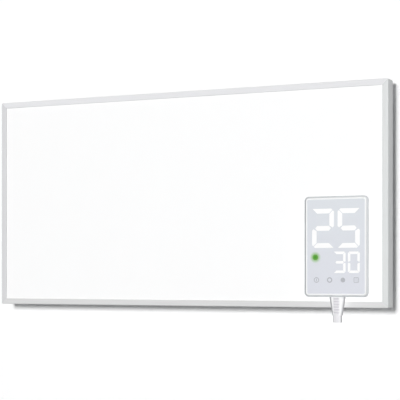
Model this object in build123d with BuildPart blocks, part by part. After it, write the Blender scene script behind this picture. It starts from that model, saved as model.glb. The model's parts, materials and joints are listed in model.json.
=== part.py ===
from build123d import *
import os
from math import radians, tan

# Infrared panel heater, in millimetres. The origin is the centre of the four wall screw holes,
# on the wall. +X points right as seen from the room, +Y into the wall and +Z up.

# Panel
panel_width = 600.0
panel_height = 300.0
panel_depth = 20.0
panel_drop = 80.0  # from the wall holes down to the panel's centre
wall_gap = 15.0  # between the wall and the panel's back

# Frame bars, with a lip round the front and a channel for the corner keys behind
frame_wall = 1.4
lip_width = 8.2
lip_thickness = 1.4
corner_radius = 2.0
front_chamfer = 0.6
channel_reach = 10.0  # from the frame's outside to the channel's mouth
channel_depth = 5.2
channel_skin = 1.2
channel_lip = 1.2
key_leg = 32.0
key_gap = 0.3
grub_radius = 1.5
grub_length = 4.0
grub_from_corner = 22.0

# Layers from the front plate to the back sheet
plate_thickness = 0.8
sheet_thickness = 0.8
plate_gap = 0.2
laminate_thickness = 0.7
bus_bar_thickness = 0.4
bus_bar_width = 8.0
film_thickness = 0.4
heated_margin = 12.0  # from the frame's outside to the heating laminate
film_margin = 11.0
board_gap = 0.2
spacer_gap = 0.2
sheet_screw_columns = 6
sheet_screw_rows = 2
sheet_screw_end = 60.0  # from the frame's corner to the first screw
sheet_screw_radius = 1.4
sheet_screw_length = 6.0
screw_gap = 0.05
sheet_screw_head = 1.8
pocket_gap = 0.5

# Screws in general: shares of the head's own height and radius, and the slots of flat-ended ones
head_round = 0.4
cross_length = 1.2
cross_width = 0.3
slot_width = 0.6
slot_depth = 0.6
cut_margin = 1.0  # how far a cut runs past the face that it opens

# Wall brackets and hangers
bracket_spacing = 360.0
bracket_width = 40.0
hanger_width = 36.0
bracket_steel = 2.0
bracket_top = 22.0
hole_spacing = 25.0
wall_hole_radius = 2.75
hook_top = -36.0
hook_depth = 14.0
hook_slot = 5.0
seat_gap = 0.2
tongue_length = 12.0
tongue_stand = 3.5  # from the wall to the hanger's tongue
hanger_base_length = 26.0
bend_radius = 1.0
rivet_radius = 2.0
rivet_spacing = 22.0
rivet_below_shelf = 14.0
rivet_head_radius = 4.0
rivet_head_height = 1.2
rivet_head_round = 0.7
rivet_tail_radius = 3.0
rivet_tail_length = 3.0
bumper_radius = 8.0
bumper_from_side = 30.0
bumper_from_bottom = 22.0
bumper_stem_radius = 2.5
bumper_stem_length = 4.0
bumper_taper = 4.0

# Controller, whose outline is measured round its white bezel
controller_width = 85.0
controller_height = 129.4
controller_radius = 4.7
controller_depth = 14.4
controller_from_right = 66.2
controller_from_bottom = 80.7
rim_width = 1.6
rim_depth = 3.6
side_taper = 20.0  # degrees, so that the case narrows towards the panel
shell_wall = 1.6
side_wall = 2.8
shell_gap = 0.2
bezel_width = 1.8
bezel_bevel = 0.5
face_recess = 0.4
face_thickness = 1.2
face_ledge = 2.0
inlay_depth = 0.3
guide_depth = 3.7
board_thickness = 1.6
circuit_board_margin = 3.3  # from the case's inner wall, at its top and sides
circuit_board_end = 12.5  # above the case's lower wall, where the lead comes in
post_radius = 3.0
block_bite = 1.0  # how far the front shell's blocks reach into its ledge
housing_screw_radius = 1.25
housing_head_radius = 2.5
housing_head_height = 1.6
housing_head_recess = 2.0
housing_screw_floor = 1.0
rim_round = 1.2
cavity_ease = 0.6  # how much less the cavity narrows than the case round it
vent_slots = 4
vent_pitch = 4.0
vent_width = 1.6
vent_depth = 4.0
vent_from_side = 10.1

# Display: two large digits fill its width, with two small ones under their right-hand side
display_from_side = 7.6  # from the face's edges to the digits
display_from_top = 12.9
display_from_bottom = 28.0
large_digit_share = 0.647  # of the height that the two rows of digits fill
large_digit_space = 5.0
large_digit_stroke = 6.4
large_digit_gap = 0.6
bar_point = 0.3  # beyond the gap, left out where a bar ends at a digit's corner alone
bar_corner_share = 0.62  # of the stroke, cut off the corner where two bars meet
bar_tip_share = 0.68  # of the stroke, from the digit's sides to its middle bar
bar_slant_share = 0.42  # of the stroke, the length of the middle bar's slanted ends
upright_tip_share = 0.31  # of the stroke, from the digit's sides to the tips of its upright bars
upright_rise_share = 0.15  # of the stroke, from the middle to those tips
upright_outer_share = 0.43  # of the stroke, from the middle to the end of their outer edge
upright_inner_share = 0.58  # of the stroke, from the middle to the end of their inner edge
digit_row_space = 4.8
small_digit_width = 16.4
small_digit_space = 3.1
small_digit_stroke = 3.4
small_digit_gap = 0.25
status_from_left = 4.6  # from the display's left edge
status_below_row = 12.3  # from the large digits' foot
status_radius = 3.8
status_gap = 0.05
lens_round = 0.24
icon_count = 4
icon_first = 6.1  # from the display's left edge
icon_last = 4.9  # from its right edge
icon_from_bottom = 18.9
icon_radius = 3.6
icon_line = 0.95
icon_heavy_line = 1.4
calendar_line = 0.75
calendar_dots = 3  # each way
calendar_pitch = 1.6
guide_edge = 2.5  # from the digits to the light guide's edge
led_width = 1.6
led_height = 0.7
touch_pad_radius = 3.0
guide_wall = 0.35
component_round = 0.6
terminal_from_end = 7.0
terminal_width = 20.0
terminal_height = 9.0
terminal_depth = 5.4
terminal_pitch = 6.0
terminal_screw_radius = 1.6
terminal_screw_length = 3.0
terminal_entry_radius = 1.4
terminal_entry_depth = 3.0
sensor_above_wall = 7.5
sensor_radius = 1.6
sensor_leg_radius = 0.3

# Base plate that carries the controller, and its plug-in contacts
base_inset = 5.2  # inside the controller's back, all round
base_thickness = 2.4
pad_radius = 6.0
pad_thickness = 0.8
stud_from_side = 9.0
stud_from_end = 17.2
stud_radius = 1.6
stud_head_radius = 3.2
stud_head_height = 1.0
stud_gap = 0.3
unhook_travel = 6.0
base_screw_z = 20.0
base_screw_radius = 1.5
base_screw_head = 2.8
base_screw_length = 6.0  # past the pads
base_gap = 0.8  # between the base plate and the controller's back
nut_radius = 3.2
nut_length = 3.0
contact_share = 0.55  # of the circuit board's height, up from its lower end
contact_width = 30.0
contact_height = 16.0
contact_length = 5.6
contact_pitch = 8.0
contact_slot = 1.6
blade_thickness = 0.8
blade_height = 5.0
blade_bite = 2.6
contact_slot_depth = 3.6
contact_floor = 1.0
contact_gap = 1.0
contact_window_height = 8.0
spring_width = 1.2
notch_margin = 8.0

# Wires and their grommet
wire_radius = 1.1
wire_pitch = 3.0
wire_level = 7.0  # behind the panel's front
wire_turn = 3.0
turn_share = 0.45  # of the shorter run beside a turn
feed_from_notch = 24.0
grommet_bore = 4.6
grommet_hole = 6.0
grommet_flange = 8.0
grommet_lip = 0.7
cut_out_radius = 8.0
cut_out_depth = 6.0
cut_out_above_notch = 34.0
earth_from_side = 26.0
earth_stud_radius = 2.0
earth_stud_length = 8.0
earth_nut_short = 1.5  # how far the stud's end stands out of its nut
lug_thickness = 0.8
lug_radius = 4.0
cut_out_round = 0.8

# Strain relief, round the controller's lead
relief_level = 7.5  # behind the controller's front
relief_bore = 3.4
relief_top_width = 21.4
relief_top_depth = 12.6
relief_end_width = 13.4
relief_end_depth = 12.2
relief_taper = 24.2
relief_neck_radius = 5.9
relief_neck_length = 9.3
relief_collar_width = 15.0
relief_collar_depth = 7.4
relief_flange_width = 19.0
relief_flange_thickness = 2.0
relief_ribs = 6
rib_start = 2.5
rib_pitch = 3.6
rib_slot = 1.1
rib_groove = 0.7
rib_width = 8.4
clamp_width = 26.0
clamp_screw_x = 9.5
clamp_above_wall = 7.5
clamp_height = 6.0
clamp_thickness = 2.2
clamp_boss_radius = 2.8
clamp_screw_radius = 1.25
clamp_screw_length = 7.0  # below the clamp
clamp_head_radius = 2.2
clamp_head_height = 1.2
clamp_head_recess = 1.3
clamp_gap = 0.2

# Places that follow from the sizes above
panel_z = -panel_drop
front_distance = wall_gap + panel_depth
half_width = panel_width / 2
half_height = panel_height / 2
plate_front = lip_thickness
plate_back = plate_front + plate_thickness
bus_bar_front = plate_back + laminate_thickness
film_front = bus_bar_front + bus_bar_thickness
board_front = film_front + film_thickness
sheet_front = panel_depth - sheet_thickness
flange_front = sheet_front - channel_skin
rib_back = flange_front - channel_depth
rib_front = rib_back - channel_skin
channel_mouth = channel_reach - channel_lip
screw_line = (frame_wall + channel_reach) / 2
controller_x = half_width - controller_from_right
controller_z = panel_z - half_height + controller_from_bottom
base_front = front_distance - plate_front + pad_thickness + base_thickness
controller_front = base_front + base_gap + controller_depth
rim_half_width = controller_width / 2 + rim_width
rim_half_height = controller_height / 2 + rim_width
rim_radius = controller_radius + rim_width
taper_depth = controller_depth - rim_depth
taper_inset = taper_depth * tan(radians(side_taper))
face_back = face_recess + face_thickness
board_level = face_back + guide_depth
board_rear = board_level + board_thickness
back_half_width = rim_half_width - taper_inset
back_half_height = rim_half_height - taper_inset
cavity_back = controller_depth - shell_wall
cavity_half_width = rim_half_width - side_wall
cavity_half_height = rim_half_height - side_wall
cavity_inset = (cavity_back - rim_depth) * tan(radians(side_taper)) - cavity_ease
face_width = controller_width - 2 * bezel_width
face_height = controller_height - 2 * bezel_width
display_half_width = face_width / 2 - display_from_side
display_top = face_height / 2 - display_from_top
display_bottom = display_from_bottom - face_height / 2
digit_rows_height = display_top - display_bottom - digit_row_space
large_digit_width = display_half_width - large_digit_space / 2
large_digit_height = large_digit_share * digit_rows_height
large_digit_bottom = display_top - large_digit_height
large_digit_left = (-display_half_width, large_digit_space / 2)
small_digit_height = digit_rows_height - large_digit_height
small_digit_right = display_half_width - small_digit_width
small_digit_left = (small_digit_right - small_digit_width - small_digit_space, small_digit_right)
status_x = status_from_left - display_half_width
status_z = large_digit_bottom - status_below_row
icon_first_x = icon_first - display_half_width
icon_pitch = (display_half_width - icon_last - icon_first_x) / (icon_count - 1)
icon_places_x = [icon_first_x + step * icon_pitch for step in range(icon_count)]
icon_z = icon_from_bottom - face_height / 2
guide_half_width = display_half_width + guide_edge
circuit_board_half_width = cavity_half_width - circuit_board_margin
circuit_board_top = cavity_half_height - circuit_board_margin
circuit_board_bottom = circuit_board_end - cavity_half_height
circuit_board_height = circuit_board_top - circuit_board_bottom
post_x = circuit_board_half_width - post_radius
post_levels = (circuit_board_top - post_radius, circuit_board_bottom + post_radius)
contact_z = circuit_board_bottom + contact_share * circuit_board_height
terminal_z = circuit_board_bottom + terminal_from_end
vent_x = vent_from_side - rim_half_width
sensor_x = vent_x + vent_pitch * (vent_slots - 1) / 2
sensor_z = sensor_above_wall - cavity_half_height
base_half_width = back_half_width - base_inset
base_half_height = back_half_height - base_inset
stud_x = base_half_width - stud_from_side
stud_z = base_half_height - stud_from_end
notch_left = controller_x - rim_half_width - notch_margin
notch_top = controller_z + rim_half_height + notch_margin - panel_z
clamp_front = face_back + clamp_gap
clamp_back = clamp_front + clamp_thickness
clamp_level = clamp_above_wall - cavity_half_height

os.makedirs("parts", exist_ok=True)


def save(piece, label):
    # Names the finished piece and writes it.
    piece.part.label = label
    export_step(piece.part, f"parts/{label}.step")


def panel_plane(depth):
    # A plane parallel to the panel's front, this deep behind it, centred on the panel.
    origin = (0, depth - front_distance, panel_z)
    return Plane(origin=origin, x_dir=(1, 0, 0), z_dir=(0, -1, 0))


def controller_plane(depth):
    # A plane parallel to the controller's front, this deep behind it, centred on it.
    origin = (controller_x, depth - controller_front, controller_z)
    return Plane(origin=origin, x_dir=(1, 0, 0), z_dir=(0, -1, 0))


def on_panel(x, z, depth, towards_wall=False):
    # A place on the panel whose own Z points to the room, or to the wall.
    turn = -90 if towards_wall else 90
    return Location((x, depth - front_distance, panel_z + z), (turn, 0, 0))


def on_controller(x, z, depth, towards_wall=False):
    # The same on the controller.
    turn = -90 if towards_wall else 90
    return Location((controller_x + x, depth - controller_front, controller_z + z), (turn, 0, 0))


def panel_box(left, right, low, high, front, back, mode=Mode.ADD):
    # A block between two values each way, measured from the panel's centre and front.
    centre = ((left + right) / 2, (front + back) / 2 - front_distance, panel_z + (low + high) / 2)
    with Locations(centre):
        Box(right - left, back - front, high - low, mode=mode)


def controller_box(left, right, low, high, front, back, mode=Mode.ADD):
    # The same, measured from the controller's centre and front.
    centre = (
        controller_x + (left + right) / 2,
        (front + back) / 2 - controller_front,
        controller_z + (low + high) / 2,
    )
    with Locations(centre):
        Box(right - left, back - front, high - low, mode=mode)


def screw(radius, length, head_radius, head_height):
    # A screw along Z: the shank goes down from the origin and the domed head stands on it.
    up = (Align.CENTER, Align.CENTER, Align.MIN)
    down = (Align.CENTER, Align.CENTER, Align.MAX)
    with BuildPart() as blank:
        Cylinder(radius, length, align=down)
        Cylinder(head_radius, head_height, align=up)
        fillet(blank.edges().sort_by(Axis.Z)[-1], head_round * head_height)
        with Locations((0, 0, head_height)):
            Box(cross_length * head_radius, cross_width * head_radius, head_height, mode=Mode.SUBTRACT)
            Box(cross_width * head_radius, cross_length * head_radius, head_height, mode=Mode.SUBTRACT)
    return blank.part


def seven_segments(width, height, stroke, gap, lit):
    # The outlines of a digit's lit bars, from its lower left corner, with mitred ends. The corner where
    # two lit bars meet is cut off, and a bar that ends there alone runs out nearly to a point.
    middle = height / 2
    joined = bar_corner_share * stroke
    tip = bar_tip_share * stroke
    slant = tip + bar_slant_share * stroke
    half = stroke / 2

    def outer_bar(left_upright, right_upright):
        left, right = (joined if upright in lit else gap + bar_point
                       for upright in (left_upright, right_upright))
        return (
            (left, height),
            (width - right, height),
            (width - (right + gap) / 2, height - (right - gap) / 2),
            (width - stroke - gap, height - stroke),
            (stroke + gap, height - stroke),
            ((left + gap) / 2, height - (left - gap) / 2),
        )

    upright = (
        (0, height - joined),
        ((joined - gap) / 2, height - (joined + gap) / 2),
        (stroke, height - stroke - gap),
        (stroke, middle + upright_inner_share * stroke),
        (upright_tip_share * stroke, middle + upright_rise_share * stroke),
        (0, middle + upright_outer_share * stroke),
    )
    centre = (
        (tip, middle),
        (slant, middle + half),
        (width - slant, middle + half),
        (width - tip, middle),
        (width - slant, middle - half),
        (slant, middle - half),
    )
    outlines = {
        "top": outer_bar("upper_left", "upper_right"),
        "upper_left": upright,
        "upper_right": tuple((width - x, z) for x, z in upright),
        "middle": centre,
        "lower_left": tuple((x, height - z) for x, z in upright),
        "lower_right": tuple((width - x, height - z) for x, z in upright),
        "bottom": tuple((x, height - z) for x, z in outer_bar("lower_left", "lower_right")),
    }
    return [outlines[bar] for bar in lit]


every_bar = ("top", "upper_left", "upper_right", "middle", "lower_left", "lower_right", "bottom")
lit_bars = {
    "0": ("top", "upper_left", "upper_right", "lower_left", "lower_right", "bottom"),
    "2": ("top", "upper_right", "middle", "lower_left", "bottom"),
    "3": ("top", "upper_right", "middle", "lower_right", "bottom"),
    "5": ("top", "upper_left", "middle", "lower_right", "bottom"),
}
large_digit = (large_digit_width, large_digit_height, large_digit_stroke)
small_digit = (small_digit_width, small_digit_height, small_digit_stroke)
digit_rows = {
    "large_digits": (large_digit, large_digit_gap, "25", large_digit_left, large_digit_bottom),
    "small_digits": (small_digit, small_digit_gap, "30", small_digit_left, display_bottom),
}


def shift_outline(outline, x, z):
    return [(point_x + x, point_z + z) for point_x, point_z in outline]


# Screw, rivet and bumper places
def spread(count, reach):
    # Evenly spaced values from -reach to reach.
    return [reach * (2 * step / (count - 1) - 1) for step in range(count)]


sheet_screw_x = spread(sheet_screw_columns, half_width - sheet_screw_end)
sheet_screw_z = spread(sheet_screw_rows, half_height - sheet_screw_end)
sheet_screw_places = [(x, side * (half_height - screw_line)) for x in sheet_screw_x for side in (-1, 1)]
sheet_screw_places += [(side * (half_width - screw_line), z) for z in sheet_screw_z for side in (-1, 1)]
corners = [(side, level) for side in (-1, 1) for level in (-1, 1)]
grub_places = [
    (side * (half_width - screw_line), level * (half_height - grub_from_corner)) for side, level in corners
] + [(side * (half_width - grub_from_corner), level * (half_height - screw_line)) for side, level in corners]
shelf_bottom = hook_top + seat_gap
shelf_top = shelf_bottom + bracket_steel
rivet_places = [
    (side * bracket_spacing / 2 + step * rivet_spacing / 2, shelf_top - rivet_below_shelf - panel_z)
    for side in (-1, 1)
    for step in (-1, 1)
]
bumper_places = [
    (side * (half_width - bumper_from_side), bumper_from_bottom - half_height) for side in (-1, 1)
]
base_screw_places = [
    (controller_x + side * stud_x, controller_z - panel_z + level * base_screw_z)
    for side, level in corners
]
stud_places = [(side * stud_x, level * stud_z) for side, level in corners]
contact_x = controller_x
contact_level = controller_z + contact_z - panel_z
wire_places = [contact_x + step * wire_pitch for step in (-1, 0, 1)]
earth_stud_x = half_width - earth_from_side
earth_stud_z = contact_level
cut_out_x = contact_x
cut_out_z = notch_top + cut_out_above_notch

# Wall brackets: a plate screwed to the wall whose lower edge is folded up into a hook
hook_bottom = hook_top - hook_depth - bracket_steel
hook_outer = 2 * bracket_steel + hook_slot
bracket_outline = (
    (0, bracket_top),
    (bracket_steel, bracket_top),
    (bracket_steel, hook_bottom + bracket_steel),
    (bracket_steel + hook_slot, hook_bottom + bracket_steel),
    (bracket_steel + hook_slot, hook_top),
    (hook_outer, hook_top),
    (hook_outer, hook_bottom),
    (0, hook_bottom),
)
for label, side in (("wall_bracket_left", -1), ("wall_bracket_right", 1)):
    centre_x = side * bracket_spacing / 2
    start = Plane(origin=(centre_x - bracket_width / 2, 0, 0), x_dir=(0, -1, 0), z_dir=(-1, 0, 0))
    with BuildPart() as bracket:
        with BuildSketch(start) as bracket_profile:
            with BuildLine():
                Polyline(*bracket_outline, close=True)
            make_face()
        extrude(amount=-bracket_width)
        lower_edges = bracket.edges().filter_by(Axis.X).group_by(Axis.Z)[0]
        fillet(lower_edges, bend_radius + bracket_steel)
        with Locations(*[Location((centre_x, 0, end * hole_spacing / 2), (90, 0, 0)) for end in (-1, 1)]):
            Hole(wall_hole_radius)
    save(bracket, label)

# Hangers: a plate riveted to the panel's back whose upper edge reaches down into the hook
hanger_outline = (
    (wall_gap, shelf_top),
    (tongue_stand, shelf_top),
    (tongue_stand, shelf_bottom - tongue_length),
    (tongue_stand + bracket_steel, shelf_bottom - tongue_length),
    (tongue_stand + bracket_steel, shelf_bottom),
    (wall_gap - bracket_steel, shelf_bottom),
    (wall_gap - bracket_steel, shelf_top - hanger_base_length),
    (wall_gap, shelf_top - hanger_base_length),
)
for label, side in (("hanger_left", -1), ("hanger_right", 1)):
    centre_x = side * bracket_spacing / 2
    start = Plane(origin=(centre_x - hanger_width / 2, 0, 0), x_dir=(0, -1, 0), z_dir=(-1, 0, 0))
    with BuildPart() as hanger:
        with BuildSketch(start) as hanger_profile:
            with BuildLine():
                Polyline(*hanger_outline, close=True)
            make_face()
        extrude(amount=-hanger_width)
        upper_edges = hanger.edges().filter_by(Axis.X).group_by(Axis.Z)[-1]
        fillet(upper_edges, bend_radius + bracket_steel)
        with Locations(*[on_panel(x, z, panel_depth) for x, z in rivet_places if x * side > 0]):
            Hole(rivet_radius + screw_gap)
    save(hanger, label)

# Blind rivets through the hangers and the back sheet
rivet_depth = panel_depth + bracket_steel
with BuildPart() as hanger_rivets:
    with Locations(*[on_panel(x, z, rivet_depth, towards_wall=True) for x, z in rivet_places]):
        Cylinder(rivet_head_radius, rivet_head_height, align=(Align.CENTER, Align.CENTER, Align.MIN))
        Cylinder(
            rivet_radius,
            bracket_steel + sheet_thickness + rivet_tail_length,
            align=(Align.CENTER, Align.CENTER, Align.MAX),
        )
    with Locations(*[on_panel(x, z, sheet_front, towards_wall=True) for x, z in rivet_places]):
        Cylinder(rivet_tail_radius, rivet_tail_length, align=(Align.CENTER, Align.CENTER, Align.MAX))
    fillet(hanger_rivets.edges().group_by(Axis.Y)[-1], rivet_head_round)
save(hanger_rivets, "hanger_rivets")

# Frame: one ring of the bar's section, cut along the mitres into four bars
frame_rings = (
    (0.0, lip_width, 0.0, lip_thickness),
    (0.0, frame_wall, 0.0, panel_depth),
    (0.0, channel_reach, rib_front, rib_back),
    (0.0, channel_reach, flange_front, sheet_front),
    (channel_mouth, channel_reach, rib_back, rib_back + channel_lip),
    (channel_mouth, channel_reach, flange_front - channel_lip, flange_front),
)
with BuildPart() as frame_ring:
    for outer, inner, first, last in frame_rings:
        with BuildSketch(panel_plane(first)):
            RectangleRounded(panel_width - 2 * outer, panel_height - 2 * outer, corner_radius)
            Rectangle(panel_width - 2 * inner, panel_height - 2 * inner, mode=Mode.SUBTRACT)
        extrude(amount=first - last)
    lip_face = frame_ring.faces().sort_by(Axis.Y)[0]
    chamfer(lip_face.outer_wire().edges(), front_chamfer)
    with Locations(*[on_panel(x, z, sheet_front) for x, z in sheet_screw_places]):
        Hole(sheet_screw_radius + screw_gap, 2 * channel_skin)
    with Locations(*[on_panel(x, z, sheet_front) for x, z in grub_places]):
        Hole(grub_radius + screw_gap, 2 * channel_skin)
ridge = half_width - half_height
mitre_outlines = {
    "frame_top": ((-half_width, half_height), (half_width, half_height), (ridge, 0), (-ridge, 0)),
    "frame_bottom": ((-half_width, -half_height), (half_width, -half_height), (ridge, 0), (-ridge, 0)),
    "frame_left": ((-half_width, -half_height), (-half_width, half_height), (-ridge, 0)),
    "frame_right": ((half_width, -half_height), (half_width, half_height), (ridge, 0)),
}
for label, outline in mitre_outlines.items():
    with BuildPart() as frame_bar:
        add(frame_ring.part)
        with BuildSketch(panel_plane(0)) as bar_region:
            with BuildLine():
                Polyline(*outline, close=True)
            make_face()
        extrude(amount=-panel_depth, mode=Mode.INTERSECT)
    save(frame_bar, label)

# Corner keys: angles that lie in the channels of two bars, held by grub screws
key_outer = frame_wall + key_gap
key_inner = channel_mouth - key_gap
key_front = rib_back + key_gap
key_back = flange_front - key_gap
with BuildPart() as corner_keys:
    for side, level in corners:
        with BuildSketch(panel_plane(key_front)) as key_outline:
            corner_x = side * (half_width - key_outer)
            corner_z = level * (half_height - key_outer)
            inner_x = side * (half_width - key_inner)
            inner_z = level * (half_height - key_inner)
            with BuildLine():
                Polyline(
                    (corner_x, corner_z),
                    (corner_x - side * key_leg, corner_z),
                    (corner_x - side * key_leg, inner_z),
                    (inner_x, inner_z),
                    (inner_x, corner_z - level * key_leg),
                    (corner_x, corner_z - level * key_leg),
                    close=True,
                )
            make_face()
        extrude(amount=key_front - key_back)
    with Locations(*[on_panel(x, z, key_back) for x, z in grub_places]):
        Hole(grub_radius + screw_gap, 2 * channel_depth)
save(corner_keys, "corner_keys")

with BuildPart() as corner_key_screws:
    with Locations(*[on_panel(x, z, sheet_front, towards_wall=True) for x, z in grub_places]):
        Cylinder(grub_radius, grub_length, align=(Align.CENTER, Align.CENTER, Align.MAX))
    with Locations(*[on_panel(x, z, sheet_front) for x, z in grub_places]):
        Box(2 * grub_radius, slot_width, 2 * slot_depth, mode=Mode.SUBTRACT)
save(corner_key_screws, "corner_key_screws")

# Radiant plate: white sheet behind the lip, with holes for the controller's base
plate_inset = frame_wall + plate_gap
with BuildPart() as radiant_plate:
    with BuildSketch(panel_plane(plate_front)):
        Rectangle(panel_width - 2 * plate_inset, panel_height - 2 * plate_inset)
        with Locations(*base_screw_places):
            Circle(base_screw_radius + screw_gap, mode=Mode.SUBTRACT)
        with Locations((contact_x, contact_level)):
            Circle(grommet_hole, mode=Mode.SUBTRACT)
    extrude(amount=-plate_thickness)
save(radiant_plate, "radiant_plate")

# Clinch nuts pressed on the plate's back, for the screws of the controller's base
with BuildPart() as clinch_nuts:
    with BuildSketch(panel_plane(plate_back)):
        with Locations(*base_screw_places):
            RegularPolygon(nut_radius, 6)
            Circle(base_screw_radius + screw_gap, mode=Mode.SUBTRACT)
    extrude(amount=-nut_length)
save(clinch_nuts, "clinch_nuts")

# Heating laminate, left out behind the controller so that the controller stays cool
with BuildPart() as heating_laminate:
    with BuildSketch(panel_plane(plate_back)):
        Rectangle(panel_width - 2 * heated_margin, panel_height - 2 * heated_margin)
        with Locations((notch_left, notch_top)):
            Rectangle(panel_width, panel_height, align=(Align.MIN, Align.MAX), mode=Mode.SUBTRACT)
    extrude(amount=-laminate_thickness)
save(heating_laminate, "heating_laminate")

bus_bar_z = half_height - heated_margin - bus_bar_width
bus_bar_left = -half_width + heated_margin + bus_bar_width / 2
with BuildPart() as bus_bars:
    panel_box(bus_bar_left, -bus_bar_left, bus_bar_z - bus_bar_width / 2, bus_bar_z + bus_bar_width / 2,
              bus_bar_front, film_front)
    panel_box(bus_bar_left, notch_left - bus_bar_width / 2, -bus_bar_z - bus_bar_width / 2,
              -bus_bar_z + bus_bar_width / 2, bus_bar_front, film_front)
save(bus_bars, "bus_bars")

# Wires in the panel, from the contact block through the grommet. They end on the bus bars.
contact_back = front_distance - base_front
feed_x = notch_left - feed_from_notch
wire_routes = {
    "neutral": (
        (wire_places[0], contact_level, contact_back),
        (wire_places[0], contact_level, wire_level),
        (feed_x, contact_level, wire_level),
        (feed_x, -bus_bar_z, wire_level),
        (feed_x, -bus_bar_z, film_front),
    ),
    "live": (
        (wire_places[1], contact_level, contact_back),
        (wire_places[1], contact_level, wire_level),
        (wire_places[1], cut_out_z - cut_out_radius, wire_level),
    ),
    "switched": (
        (cut_out_x, cut_out_z + cut_out_radius, wire_level),
        (cut_out_x, bus_bar_z, wire_level),
        (cut_out_x, bus_bar_z, film_front),
    ),
}


def wire_radii(points):
    # Every turn is a right angle: wide along the board, small where a run to the front is short.
    radii = []
    for before, corner, after in zip(points, points[1:], points[2:]):
        shorter = min((Vector(*corner) - Vector(*other)).length for other in (before, after))
        radii.append(min(wire_turn, turn_share * shorter))
    return radii


def wire_point(x, z, depth):
    return (x, depth - front_distance, panel_z + z)


def wire(route):
    # A round wire along straight runs joined by arcs.
    points = [wire_point(*point) for point in route]
    with BuildPart() as tube:
        with BuildLine() as path:
            if len(points) == 2:
                Line(*points)
            else:
                FilletPolyline(*points, radius=wire_radii(points))
        with BuildSketch(Plane(origin=points[0], z_dir=path.line % 0)):
            Circle(wire_radius)
        sweep(path=path.line)
    return tube.part


with BuildPart() as heater_wires:
    for route in wire_routes.values():
        add(wire(route))
save(heater_wires, "heater_wires")

earth_route = (
    (wire_places[2], contact_level, contact_back),
    (wire_places[2], contact_level, wire_level),
    (earth_stud_x - lug_radius, contact_level, wire_level),
)
with BuildPart() as earth_wire:
    add(wire(earth_route))
save(earth_wire, "earth_wire")

# Earth: a stud welded to the plate, with the wire's ring lug between its collar and a nut
lug_front = wire_level - lug_thickness / 2
with BuildPart() as earth_stud:
    with BuildSketch(panel_plane(plate_back)):
        with Locations((earth_stud_x, earth_stud_z)):
            Circle(earth_stud_radius)
    extrude(amount=-earth_stud_length)
    with BuildSketch(panel_plane(plate_back)):
        with Locations((earth_stud_x, earth_stud_z)):
            Circle(lug_radius)
    extrude(amount=plate_back - lug_front)
save(earth_stud, "earth_stud")

with BuildPart() as earth_lug:
    with BuildSketch(panel_plane(lug_front)):
        with Locations((earth_stud_x, earth_stud_z)):
            Circle(lug_radius)
            Circle(earth_stud_radius + screw_gap, mode=Mode.SUBTRACT)
    extrude(amount=-lug_thickness)
save(earth_lug, "earth_lug")

lug_back = lug_front + lug_thickness
with BuildPart() as earth_nut:
    with BuildSketch(panel_plane(lug_back)):
        with Locations((earth_stud_x, earth_stud_z)):
            RegularPolygon(lug_radius, 6)
            Circle(earth_stud_radius + screw_gap, mode=Mode.SUBTRACT)
    extrude(amount=lug_back - plate_back - earth_stud_length + earth_nut_short)
save(earth_nut, "earth_nut")

# Grommet round the wires where they pass the plate
with BuildPart() as wire_grommet:
    for front, back, radius in (
        (plate_front - grommet_lip, plate_front, grommet_flange),
        (plate_front, plate_back, grommet_hole),
        (plate_back, plate_back + grommet_lip, grommet_flange),
    ):
        with BuildSketch(panel_plane(front)):
            with Locations((contact_x, contact_level)):
                Circle(radius)
        extrude(amount=front - back)
    with Locations(on_panel(contact_x, contact_level, plate_front)):
        Hole(grommet_bore, 2 * plate_back)
save(wire_grommet, "wire_grommet")

# Thermal cut-out in the live wire, resting on the insulating film
with BuildPart() as thermal_cutout:
    with BuildSketch(panel_plane(board_front)):
        with Locations((cut_out_x, cut_out_z)):
            Circle(cut_out_radius)
    extrude(amount=-cut_out_depth)
    fillet(thermal_cutout.edges().group_by(Axis.Y)[-1], cut_out_round)
save(thermal_cutout, "thermal_cutout")

# Insulating film over the laminate
with BuildPart() as insulating_film:
    with BuildSketch(panel_plane(film_front)):
        Rectangle(panel_width - 2 * film_margin, panel_height - 2 * film_margin)
        with Locations((notch_left, notch_top)):
            Rectangle(panel_width, panel_height, align=(Align.MIN, Align.MAX), mode=Mode.SUBTRACT)
        with Locations((feed_x, -bus_bar_z), (cut_out_x, bus_bar_z)):
            Circle(wire_radius + pocket_gap, mode=Mode.SUBTRACT)
    extrude(amount=-film_thickness)
save(insulating_film, "insulating_film")

# Foam strips between the plate's edge and the key channel
spacer_outer = frame_wall + spacer_gap
spacer_inner = channel_reach - spacer_gap
with BuildPart() as edge_spacers:
    for level in (-1, 1):
        low, high = sorted((level * (half_height - spacer_outer), level * (half_height - spacer_inner)))
        panel_box(spacer_outer - half_width, half_width - spacer_outer, low, high, plate_back, rib_front)
    for side in (-1, 1):
        left, right = sorted((side * (half_width - spacer_outer), side * (half_width - spacer_inner)))
        reach = half_height - spacer_inner - spacer_gap
        panel_box(left, right, -reach, reach, plate_back, rib_front)
save(edge_spacers, "edge_spacers")

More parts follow.
